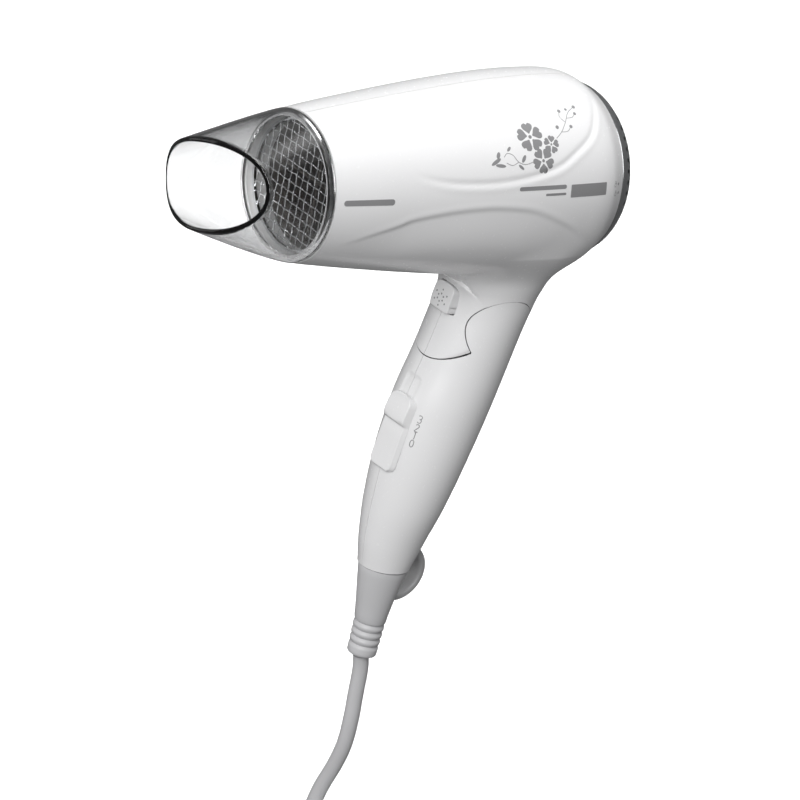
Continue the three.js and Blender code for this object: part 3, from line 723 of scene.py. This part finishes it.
def button_outline(p, grow):
    """The cool button's opening in the neck, larger than its cap by grow."""
    q = local(button_frame, p)
    v = arch_field(q[:, 1], q[:, 2], CAP["half"] + grow, CAP["foot"] - grow, CAP["crown"] + grow,
                   CAP["corner"], CAP["rise"])
    return np.where(q[:, 0] > 12, 20.0, v)


skin_points, skin_faces = skin_mesh()
skin_points = settle(skin_points, skin, 4)
SIDES = {"left": lambda p: p[:, 1] + GAP / 2, "right": lambda p: GAP / 2 - p[:, 1]}
WALL = 2.2
WALL_LEAST = 0.2


def shell(kind, side, body, limits, thin, reshape=None):
    """One moulded half: the skin inside all limits, given a wall and slightly rounded edges."""
    points, faces = skin_points, skin_faces
    for limit in (SIDES[side], *limits):
        points, faces = clip(points, faces, limit)
    if reshape:
        points = reshape(points)
    obj = piece(f"{kind}_shell_{side}", points, faces, body, "body_white", [f"{kind}_{side}"], crease=50)
    work = bmesh.new()
    work.from_mesh(obj.data)
    # The point farthest from the middle of the barrel shows whether the faces point outwards.
    centre = Vector(mm([[110, 0, -10]])[0])
    top = max(work.verts, key=lambda v: (v.co - centre).length)
    if top.normal.dot(top.co - centre) < 0:
        bmesh.ops.reverse_faces(work, faces=work.faces)
        work.to_mesh(obj.data)
    work.free()
    solid = obj.modifiers.new("wall", "SOLIDIFY")
    solid.thickness = WALL / 1000
    solid.offset = -1
    group = obj.vertex_groups.new(name="wall")
    for index, weight in enumerate(thin(points)):
        group.add([index], float(weight), "REPLACE")
    solid.vertex_group = "wall"
    solid.thickness_vertex_group = WALL_LEAST
    bevelled(obj, "edge", 0.22, 2, 50)


def lobe_relief(p):
    """Seats the neck's front lobe just inside the handle's lip where the handle swings past it."""
    reach, angle = hinge_polar(p)
    inset = SWING["clearance"] + 0.15
    inside = (angle > HINGE["lobe_edge"] - 4) & (angle < 214) & (reach < 31)
    hit = inside & (swing_field(p, inset) > 0)
    p = p.copy()
    p[hit] = settle(p[hit], lambda q: swing_field(q, inset), 2)
    return p


def lip_wall(p):
    """Share of the handle's wall, thin where its lip lies over the neck's lobe."""
    reach, angle = hinge_polar(p)
    return 1 - 0.97 * step(angle, 84, 94) * (1 - step(reach, 34, 40))


def seam_wall(p):
    """Share of the housing's wall, thin beside the round seam about the hinge."""
    return 1 - 0.9 * (1 - step(hinge_polar(p)[0], 16.5, 20))


def screw_hole(x, z):
    """Round hole through one side over a screw's head."""
    return lambda p: 3.1 - np.hypot(p[:, 0] - x, p[:, 2] - z)


# The two screws go in from the right.
HOUSING_SCREWS = {"left": [], "right": [screw_hole(126, -43)]}
HANDLE_SCREWS = {"left": [], "right": [screw_hole(90.6, -150)]}
for side in ("left", "right"):
    shell("housing", side, "barrel",
          [lambda p: -p[:, 0], lambda p: p[:, 0] - REAR, lambda p: GAP - handle_side(p),
           lambda p: -button_outline(p, 0.45), *HOUSING_SCREWS[side]], seam_wall, lobe_relief)
    shell("handle", side, "handle", [handle_side, lambda p: -p[:, 2] - HANDLE_END, *HANDLE_SCREWS[side]],
          lip_wall)


# ---- nozzle
def nozzle_ring(t, inset, count=128):
    """Section of the nozzle from its round base (t 0) to its flat mouth (t 1), drawn in by inset."""
    c, s = np.cos(around(count)), np.sin(around(count))
    ease = max(t, 0) ** 1.15
    power = 2 / MOUTH["power"]
    base = (1 - ease) * (NOZZLE["base_r"] - inset)
    y = base * c + ease * (MOUTH["width"] / 2 - inset) * powered(c, power)
    z = base * s + ease * (MOUTH["height"] / 2 - inset) * powered(s, power)
    edge = MOUTH["middle"] + (MOUTH["ends"] - MOUTH["middle"]) * (2 * y / MOUTH["width"]) ** 2
    x = NOZZLE["base_x"] + (edge - NOZZLE["base_x"]) * t
    turn = math.radians(MOUTH["turn"])
    across = y * math.cos(turn) - z * math.sin(turn)
    up = y * math.sin(turn) + z * math.cos(turn) + ease * MOUTH["lift"]
    return columns(x, across, up)


steps = np.linspace(0.02, 0.985, 26)
outer = [(0, 0.5), (0.008, 0.12), *[(t, 0) for t in steps], (0.996, 0.15), (1, 0.4)]
inner = [(1, 1.45), (0.994, 1.75), *[(t, NOZZLE["wall"]) for t in steps[::-1]]]
# The inner flange, as x from the nozzle's base and radius.
flange = [(0.1, 28.6), (-0.05, 28.25), (-1.25, 28.05), (-1.3, 26.9), (-1.7, 26.4), (-2.4, 26.6), (-2.5, 27.2),
          (-2.2, 28.2), (-1.6, 28.5), (-0.2, 28.5)]
nozzle_body = tube_of([*[nozzle_ring(t, inset) for t, inset in outer + inner],
                       *[ring_yz(NOZZLE["base_x"] + x, r, 128) for x, r in flange]], close=True)
piece("clear_nozzle", *nozzle_body, "nozzle", "clear_plastic", ["concentrator_nozzle"], crease=60)


def loop_tube(centre_line, r, sides=10, closed=True):
    """Round bar along a line of points."""
    line = np.asarray(centre_line, dtype=float)
    ahead = np.roll(line, -1, axis=0) if closed else np.concatenate([line[1:], line[-1:]])
    behind = np.roll(line, 1, axis=0) if closed else np.concatenate([line[:1], line[:-1]])
    tangent = ahead - behind
    tangent /= np.linalg.norm(tangent, axis=1)[:, None]
    first = np.cross(tangent, np.array([0.31, 0.52, 0.79]))
    first /= np.linalg.norm(first, axis=1)[:, None]
    second = np.cross(tangent, first)
    c, s = np.cos(around(sides))[:, None], np.sin(around(sides))[:, None]
    return tube_of([at + r * (c * u + s * v) for at, u, v in zip(line, first, second)], close=closed)


# ---- air outlet
outlet = [(-1.4, 26.7), (-1.1, 26.35), (0, 26.3), (9, 26.3), (9, 28.9), (4, 27.9), (-1.0, 27.75),
          (-1.4, 27.4)]
piece("outlet_bezel", *turned(outlet, 128), "barrel", "inner_white", ["outlet_ring"], round_edges=0.15)
MESH = {"x": 2.1, "r": 25.9, "pitch": 3.8, "wire": 0.2}
hoop = [(-0.6, 24.9), (0.6, 24.9), (0.6, 26.1), (-0.6, 26.1)]
wires = [turned([(MESH["x"] + x, r) for x, r in hoop], 96)]
count = int(MESH["r"] / MESH["pitch"])
for k in range(-count, count + 1):
    at = k * MESH["pitch"]
    half = math.sqrt(25.4 ** 2 - at * at)
    run = np.linspace(-half, half, max(int(half * 2 / MESH["pitch"] * 4), 8))
    wave = 0.17 * np.cos(math.pi * run / MESH["pitch"] + math.pi * (k % 2))
    for line in (columns(MESH["x"] + wave, at, run), columns(MESH["x"] - wave, run, at)):
        wires.append(loop_tube(line, MESH["wire"], 6, False))
piece("outlet_grille", *merged(*wires), "barrel", "steel", ["outlet_mesh"], crease=50, material=BRIGHT_WIRE)

# Heating wire wound in a zigzag over the mica cross.
for k in range(5):
    x = 18 + 10.5 * k
    a = np.linspace(0, 2 * math.pi, 241)[:-1]
    reach = 24.6 + 0.9 * np.cos(40 * a)
    crimp = columns(x + 2.6 * np.sin(40 * a), reach * np.cos(a), reach * np.sin(a))
    piece(f"heating_winding_{k + 1}", *loop_tube(crimp, 0.35, 6), "barrel", "heating_wire",
          [f"heater_coil_{k + 1}"])


# ---- rear cover
def rear_cover():
    """Dome with a rolled rim and a flat middle, before its holes are cut."""
    profile = [(139.8, 33.4), (139.8, 34.9), (140.1, 35.2), (141.6, 35.0), (143, 34.4), (144.8, 33.3),
               (146.5, 31.8), (148.2, 29.8), (149.5, 27.5), (150.6, 24.6), (151.3, 22), (151.9, 18.6),
               (152.2, 16), (152.4, 13), (152.5, 10)]
    inside = [(x - 1.4, max(r - 1.7, 0.3)) for x, r in profile[4:]][::-1]
    return turned([*profile, (152.5, 0.3), (151.0, 0.3), *inside], 240)


cover = piece("intake_cover_shell", *rear_cover(), "intake_cover", "cover_silver", ["rear_cover"])


def cut_holes(obj, tools, name):
    """Takes tool solids out of a piece, and keeps the result in its mesh."""
    mesh = mesh_from(name, *merged(*tools))
    tool = linked(name, mesh)
    boolean = obj.modifiers.new("holes", "BOOLEAN")
    boolean.operation = "DIFFERENCE"
    boolean.solver = "EXACT"
    boolean.object = tool
    fresh = bpy.data.meshes.new_from_object(obj.evaluated_get(bpy.context.evaluated_depsgraph_get()))
    obj.modifiers.remove(boolean)
    old = obj.data
    obj.data = fresh
    bpy.data.objects.remove(tool)
    bpy.data.meshes.remove(old)
    bpy.data.meshes.remove(mesh)
    obj.data.name = obj.name
    obj.data.set_sharp_from_angle(angle=math.radians(35))


def radial_pin(x, r0, r1, angle, radius, sides=14):
    """Round cutter pointing out from the barrel's axis."""
    along, across = radius * np.cos(around(sides)), radius * np.sin(around(sides))
    c, s = math.cos(angle), math.sin(angle)
    return tube_of([columns(x + along, r * c - s * across, r * s + c * across) for r in (r0, r1)])


def axial_pin(r, angle, radius, x0, x1, sides=14):
    """Round cutter along the barrel's axis, at a distance from it."""
    a = around(sides)
    y, z = r * math.cos(angle) + radius * np.cos(a), r * math.sin(angle) + radius * np.sin(a)
    return tube_of([columns(x, y, z) for x in (x0, x1)])


RIM_HOLES = 48
FACE_HOLES = ((29.6, 44), (26.4, 40), (23.2, 34), (20, 30), (16.8, 24), (13.6, 20))
tools = [radial_pin(143.9, 30.8, 38, 2 * math.pi * (k + 0.5) / RIM_HOLES, 0.95) for k in range(RIM_HOLES)]
for r, n in FACE_HOLES:
    tools += [axial_pin(r, 2 * math.pi * (k + r) / n, 1.0, 144, 156) for k in range(n)]
cut_holes(cover, tools, "cover_holes")


# ---- switch and button
def key_cap(outline, rows, top, skirt, matrix, shoulder=0.5, bow=0.0, draft=0.0):
    """A key: sections across it from foot to crown, flat-topped with rounded shoulders and side walls."""
    half, foot, crown, corner, rise = (outline[k] for k in ("half", "foot", "crown", "corner", "rise"))
    across = np.array([-1, -0.985, -0.96, -0.92, *np.linspace(-0.86, 0.86, 25), 0.92, 0.96, 0.985, 1])
    rings = []
    for z in rows:
        low = max(corner - (z - foot), 0)
        high = min(max(z - crown + rise, 0) / rise, 1)
        w = (half - corner + math.sqrt(corner ** 2 - low ** 2)) * (1 - high ** 2.6) ** (1 / 2.6)
        y = w * across
        line = z - bow * y * y * math.exp(-((z - 4) / 3) ** 2)
        near_edge = np.clip((np.abs(across) - 0.9) / 0.1, 0, 1)
        near_end = max(1 - (z - foot) / shoulder, 1 - (crown - z) / shoulder, 0)
        drop = shoulder * (1 - np.sqrt(np.maximum(1 - near_edge ** 2, 0))) + 0.8 * shoulder * near_end ** 2
        face = columns(top(y, line) + drop, y * (1 - draft / half), line)
        floor = columns(skirt(y, line), y, line)[::-1]
        wall = np.linspace(0.12, 1, 4)[:, None]
        right = face[-1] + wall * (floor[0] - face[-1])
        left = floor[-1] + (1 - wall[::-1]) * (face[0] - floor[-1])
        rings.append(np.concatenate([face, right, floor[1:-1], left]))
    return placed(tube_of(rings), matrix)


def knob_top(y, z):
    """Raised finger rest above, low and flat below, with a sharp step between."""
    rest = -0.75 + 0.3 * step(z, -2, 2.6) * (1 - step(z, 2.6, 3.6))
    return rest - 1.45 * step(z, 2.7, 4.2) * (1 - 0.75 * step(z, 6, 15)) + 0.003 * y * y


def knob_skirt(y, z):
    """Just clear of the handle's surface wherever the knob stands."""
    travel = [column_front(switch_frame, y, z + s) for s in np.linspace(0, KNOB["travel"], 5)]
    return np.min(travel, axis=0) - 0.15


knob_rows = [*(KNOB["foot"] + np.array([0, 0.12, 0.3, 0.6, 1, 1.5, 2.2, 3])), *np.linspace(-13, -1, 9),
             0, 1, 1.7, 2.2, *np.linspace(2.6, 4.4, 10), 5, 6, 7.5, 9, 10.4, 11.4, 12.3, 13, 13.6, 14.1,
             14.5, 14.8, 15, 15.12]
piece("speed_knob_cap", *key_cap(KNOB, knob_rows, knob_top, knob_skirt, switch_frame, bow=0.028, draft=0.9),
      "speed_switch", "body_white", ["speed_knob"], crease=62)


def cap_top(y, z):
    """Slightly domed face of the cool button."""
    return -3.3 + 0.012 * (y * y + z * z)


cap_rows = [*(CAP["foot"] + np.array([0, 0.1, 0.25, 0.5, 0.9, 1.3, 2, 3])), *np.linspace(-1.5, 3.6, 6),
            4.4, 5.1, 5.7, 6.2, 6.6, 6.9, 7.1, 7.22]
piece("cool_button_cap", *key_cap(CAP, cap_rows, cap_top, lambda y, z: 3.4 + 0 * y, button_frame, 0.4),
      "cool_button", "body_white", ["cool_button"], crease=62)


def dot(centre, radius, out, depth, sides=16):
    """Low domed dot around a point, facing along out."""
    out = np.asarray(out, dtype=float)
    first = np.cross(out, [0.2, 0.9, 0.4])
    first /= np.linalg.norm(first)
    second = np.cross(out, first)
    a = around(sides)[:, None]
    circle = np.cos(a) * first + np.sin(a) * second
    dome = ((1, -1), (1, 0.4), (0.7, 0.9), (0.1, 1))
    return tube_of([centre + radius * f * circle + h * depth * out for f, h in dome])


flake = [(1.15 * r * math.cos(a), r * math.sin(a)) for r in (1.6, 3.3)
         for a in (math.pi / 6 + math.pi / 3 * k for k in range(6))]
button_out = np.array(button_frame.to_3x3() @ Vector((-1, 0, 0)))
dots = []
for y, z in flake:
    at = np.array(button_frame @ Vector((float(cap_top(y, z + 0.7)), y, z + 0.7)))
    dots.append(dot(at, 0.4, button_out, 0.04))
piece("cool_button_snowflake", *merged(*dots), "cool_button", "body_white", material=MARK_GREY)


# ---- strain relief and hang loop
def boot_ring(x, r, fore=0.0, aft=0.0, count=72):
    """Ring about the boot's axis, wider by fore towards the nozzle and by aft towards the intake."""
    along = np.cos(around(count))
    return columns(x, r * np.sin(around(count)), (r + np.where(along > 0, aft, fore)) * along)


boot_profile = [(-0.05, 9.4, 0.8, -0.6), (0.25, 10, 0.95, -0.6), (0.8, 10.05, 1.0, -0.6),
                (3, 9.75, 0.95, -0.7), (7, 9.1, 0.85, -0.8), (12, 8.3, 0.7, -0.75), (17, 7.55, 0.4, -0.5),
                (21, 7.0, 0.2, -0.25), (24.4, 6.6, 0.1, 0)]
groove = ((-0.75, 0.1), (-0.4, 0.65), (0, 0.85), (0.35, 0.6), (0.9, 0.06), (1.5, 0))
for k in range(4):
    boot_profile += [(25.6 + 3.2 * k + dx, 6.55 - 0.1 * k - depth) for dx, depth in groove]
boot_profile += [(38.2, 6.2), (39.2, 6.1), (39.7, 5.8), (40, 5.3), (40, 3.9), (38.5, 3.5)]
boot_solid = tube_of([boot_ring(-4, 6), boot_ring(-4, 7.6), boot_ring(-0.05, 7.6),
                      *[boot_ring(*row) for row in boot_profile]])
piece("strain_relief_boot", *placed(boot_solid, boot_frame), "handle", "cord_grey", ["strain_relief"],
      crease=50)

LOOP = {"x": 97, "z": -175.6, "outer": 12.9, "inner": 9.6, "half": 3.9}
loop_middle, loop_thick = (LOOP["outer"] + LOOP["inner"]) / 2, (LOOP["outer"] - LOOP["inner"]) / 2
reach = loop_middle + loop_thick * powered(np.cos(around(28)), 0.6)
side = LOOP["half"] * powered(np.sin(around(28)), 0.5)
loop_rings = [columns(LOOP["x"] + reach * math.cos(a), side, LOOP["z"] + reach * math.sin(a))
              for a in np.radians(np.linspace(88, -90, 49))]
piece("hang_loop_band", *tube_of(loop_rings), "handle", "loop_grey", ["hang_loop"], crease=50)


# ---- printed marks
def on_side(middle, height):
    """Lays flat millimetre shapes on the barrel's near side, around an x and an angle in degrees."""
    def wrap(flat, out):
        flat = np.asarray(flat, dtype=float)
        x = middle + flat[:, 0]
        angle = np.radians(height + np.degrees(flat[:, 1] / looked_up(BARREL, middle)))
        r = table(BARREL, x)
        return settle(columns(x, -r * np.cos(angle), r * np.sin(angle)), lambda q: skin(q) - out, 3)

    return wrap


def print_patch(outline, wrap, fine=1.2):
    """A thin printed patch: a flat outline filled, subdivided and laid on a surface by wrap(flat, out)."""
    work = bmesh.new()
    work.faces.new([work.verts.new((x, y, 0)) for x, y in outline])
    bmesh.ops.triangulate(work, faces=work.faces[:])
    for _ in range(4):
        long = [e for e in work.edges if e.calc_length() > fine]
        if not long:
            break
        bmesh.ops.subdivide_edges(work, edges=long, cuts=1)
        bmesh.ops.triangulate(work, faces=work.faces[:])
    work.verts.index_update()
    flat = np.array([v.co[:2] for v in work.verts])
    faces = [[v.index for v in f.verts] for f in work.faces]
    rim = [[v.index for v in e.verts] for e in work.edges if len(e.link_faces) == 1]
    work.free()
    n = len(flat)
    points = np.concatenate([wrap(flat, 0.05), wrap(flat, -0.15)])
    under = [[n + i for i in f[::-1]] for f in faces]
    return points, faces + under + [[a, b, n + b, n + a] for a, b in rim]


def printed(name, marks, body="barrel"):
    piece(name, *merged(*marks), body, "loop_grey", crease=80, material=MARK_GREY)


def print_stroke(line, wrap, width):
    """A thin printed stroke along flat points."""
    line = smooth_line(line, 5)
    return loop_tube(wrap(line, 0.09 - width / 2), width / 2, 8, False)


def petal(reach, broad, angle, notch=0.12):
    """Outline of a rounded petal pointing out at an angle, with a shallow notch at its tip."""
    half = ((0.24, 0.05), (0.34, 0.14), (0.46, 0.3), (0.58, 0.43), (0.7, 0.5), (0.82, 0.5), (0.92, 0.42),
            (0.98, 0.28), (1.0, 0.15))
    out = [(reach * x, broad * w) for x, w in half]
    tip = (reach * (1 - notch), 0.0)
    ring = [*out, tip, *[(x, -y) for x, y in out[::-1]]]
    c, s = math.cos(angle), math.sin(angle)
    return [(x * c - y * s, x * s + y * c) for x, y in ring]


def oval(cx, cy, a, b, angle, count=14):
    """Outline of an ellipse turned by an angle."""
    c, s = math.cos(angle), math.sin(angle)
    ring = [(a * math.cos(t), b * math.sin(t)) for t in around(count)]
    return [(cx + x * c - y * s, cy + x * s + y * c) for x, y in ring]


PRINT_AT = (92, 35)
wrap_print = on_side(*PRINT_AT)


def degrees_to_flat(x, degrees):
    return x - PRINT_AT[0], math.radians(degrees - PRINT_AT[1]) * looked_up(BARREL, PRINT_AT[0])


# Flowers: x, degrees, reach of a petal, angle of the first. Stems: width, then x and degrees along them.
# Leaves and buds: x, degrees, half length, half width, turn.
FLOWERS = ((90.5, 43, 6.0, 0.35), (94.8, 29.0, 5.0, 0.9), (99.9, 37.8, 3.6, 0.1))
STEMS = ((0.34, (89.6, 28.6), (86, 27.6), (82.8, 29.4), (80.6, 33.4), (78, 34.6), (76.4, 32.6)),
         (0.3, (82.9, 29.2), (80, 27.6), (77.2, 29.2)),
         (0.34, (103.2, 41), (106.6, 44.6), (110, 50.2), (112.8, 55.6), (116.6, 59)),
         (0.28, (106.4, 44.4), (109.6, 44.6), (111.6, 46.8)),
         (0.28, (109.8, 50), (108, 53.6), (108.8, 56.6)),
         (0.28, (111, 52.4), (114.2, 52.8), (115.8, 54.6)))
LEAVES = ((72.4, 30.2, 2.6, 0.8, 0.5), (74.4, 27.8, 2.4, 0.75, -0.15), (73.8, 33.8, 1.5, 0.8, 1.2),
          (85.6, 30.8, 1.7, 0.75, 1.0), (84, 26.2, 1.5, 0.6, -0.7), (79.2, 37, 1.2, 0.6, 0.8))
BUDS = ((111.9, 47.2, 0.75), (108.9, 57.2, 0.8), (116.2, 55, 0.7), (117.2, 59.4, 0.8), (105, 47.4, 0.8),
        (112.6, 58, 0.6))
marks = []
for x, degrees, reach, first in FLOWERS:
    cx, cy = degrees_to_flat(x, degrees)
    for k in range(5):
        shape = petal(reach, reach * 0.84, first + 2 * math.pi * k / 5)
        marks.append(print_patch([(cx + u, cy + v) for u, v in shape], wrap_print))
    marks.append(print_patch(oval(cx, cy, 0.13 * reach, 0.13 * reach, 0), wrap_print))
for width, *line in STEMS:
    marks.append(print_stroke([degrees_to_flat(*at) for at in line], wrap_print, width))
for x, degrees, a, b, turn in (*LEAVES, *[(x, degrees, size, size, 0) for x, degrees, size in BUDS]):
    marks.append(print_patch(oval(*degrees_to_flat(x, degrees), a, b, turn), wrap_print))
printed("blossom_print", marks)


def bar(x0, x1, degrees, height, rounding):
    """A plain rounded bar along the side, between two x."""
    half, h = (x1 - x0) / 2, height / 2
    corners = [(half, h), (-half, h), (-half, -h), (half, -h)]
    ring = []
    for k, (cx, cy) in enumerate(corners):
        for t in np.linspace(0, math.pi / 2, 4):
            a = k * math.pi / 2 + t
            x = cx - math.copysign(rounding, cx) + rounding * math.cos(a)
            y = cy - math.copysign(rounding, cy) + rounding * math.sin(a)
            ring.append((x, y))
    return print_patch(ring, on_side((x0 + x1) / 2, degrees), 1.6)


BARS = ((108.4, 127, 11.2, 5.2, 0.35), (3.5, 26, 9, 2.4, 1.1), (83, 106, 13.9, 1.7, 0.8),
        (96, 106, 9.9, 1, 0.45))
printed("plain_bars", [bar(*row) for row in BARS])
lock_marks = []
for at in ((133.6, 12.4), (134.2, 6.8)):
    here = on_side(*at)
    lock_marks.append(print_patch(oval(1.9, 0, 0.55, 0.55, 0), here))
    lock_marks.append(print_stroke([(-1.3, -0.7), (-0.1, -0.7), (0.0, 0.3), (-1.3, 0.4), (-1.4, -0.6)],
                                   here, 0.2))
    lock_marks.append(print_stroke([(-1.2, 0.5), (-1.1, 1.2), (-0.5, 1.3), (-0.2, 0.5)], here, 0.18))
printed("lock_marks", lock_marks)


def wrap_handle(flat, out):
    """Flat (across, up) millimetres beside the slide switch laid on the handle's surface."""
    flat = np.asarray(flat, dtype=float)
    at = moved(columns(3.0, -flat[:, 0], flat[:, 1]), switch_frame)
    return settle(at, lambda q: column_field(q) - out, 4)


DIGITS = {3: [[(-0.9, 1.3), (-0.2, 1.65), (0.75, 1.4), (0.8, 0.6), (0.2, 0.1), (-0.2, 0.05)],
              [(-0.2, 0.05), (0.7, -0.1), (0.95, -0.8), (0.5, -1.5), (-0.3, -1.65), (-0.95, -1.35)]],
          2: [[(-0.85, 1.2), (-0.2, 1.65), (0.6, 1.5), (0.85, 0.85), (0.4, 0.1), (-0.5, -0.9), (-0.9, -1.6)],
              [(-0.9, -1.6), (0, -1.6), (0.95, -1.6)]],
          1: [[(-0.4, 1.2), (-0.05, 1.45), (0.2, 1.65)], [(0.2, 1.65), (0.2, 0), (0.2, -1.6)]],
          0: [[(0, 1.6), (-0.75, 1.1), (-0.95, 0), (-0.75, -1.1), (0, -1.6), (0.75, -1.1), (0.95, 0),
               (0.75, 1.1), (0, 1.6)]]}
DIGIT_HEIGHTS = ((3, 8.4), (2, 4.6), (1, 1.3), (0, -2.1))
strokes = []
for digit, height in DIGIT_HEIGHTS:
    for line in DIGITS[digit]:
        flat = [(10.3 + 0.95 * x, height + 0.95 * y) for x, y in line]
        strokes.append(print_stroke(flat, wrap_handle, 0.46))
printed("speed_digits", strokes, "handle")


# ---- floor and light
FLOOR_Z = -0.42
FLOOR_HALF = 9
corners = [(x * FLOOR_HALF, y * FLOOR_HALF, FLOOR_Z) for x, y in ((-1, -1), (1, -1), (1, 1), (-1, 1))]
floor_mesh = bpy.data.meshes.new("floor")
floor_mesh.from_pydata(corners, [], [(0, 1, 2, 3)])
floor = linked("floor", floor_mesh)
floor_mesh.materials.append(plastic("pale_floor", (0.92, 0.92, 0.92), 0.8, 40, 0.02, 0.004))
floor.visible_diffuse = False
floor.visible_glossy = False


def softbox(name, direction, distance, width, height, power, target=(0, 0, 0.06), spread=180):
    """Area light at a distance in a direction from the target, facing it."""
    light = bpy.data.lights.new(name, "AREA")
    light.shape = "RECTANGLE"
    light.size = width
    light.size_y = height
    light.energy = power
    light.spread = math.radians(spread)
    obj = linked(name, light)
    away = Vector(direction).normalized()
    obj.location = Vector(target) + away * distance
    obj.rotation_euler = away.to_track_quat("Z", "Y").to_euler()


world = bpy.data.worlds.new("studio")
bpy.context.scene.world = world
world.use_nodes = True
sky = world.node_tree.nodes["Background"]
set_inputs(sky, Color=(0.5, 0.5, 0.505, 1), Strength=0.3)
softbox("key", back - level_right * 0.26 + level_up * 0.1, 1.9, 1.3, 1.3, 31)
softbox("side", -level_right - back * 0.1 + level_up * 0.1, 1.5, 0.7, 1.4, 2)
softbox("overhead", (0, 0, 1), 3.4, 6, 6, 42, (0, 0, FLOOR_Z))
softbox("floor_wash", (0, 0, 1), 2.2, 1.6, 2.5, 24, (0.85, 1.0, FLOOR_Z), 80)
bpy.context.scene.view_settings.view_transform = "Standard"
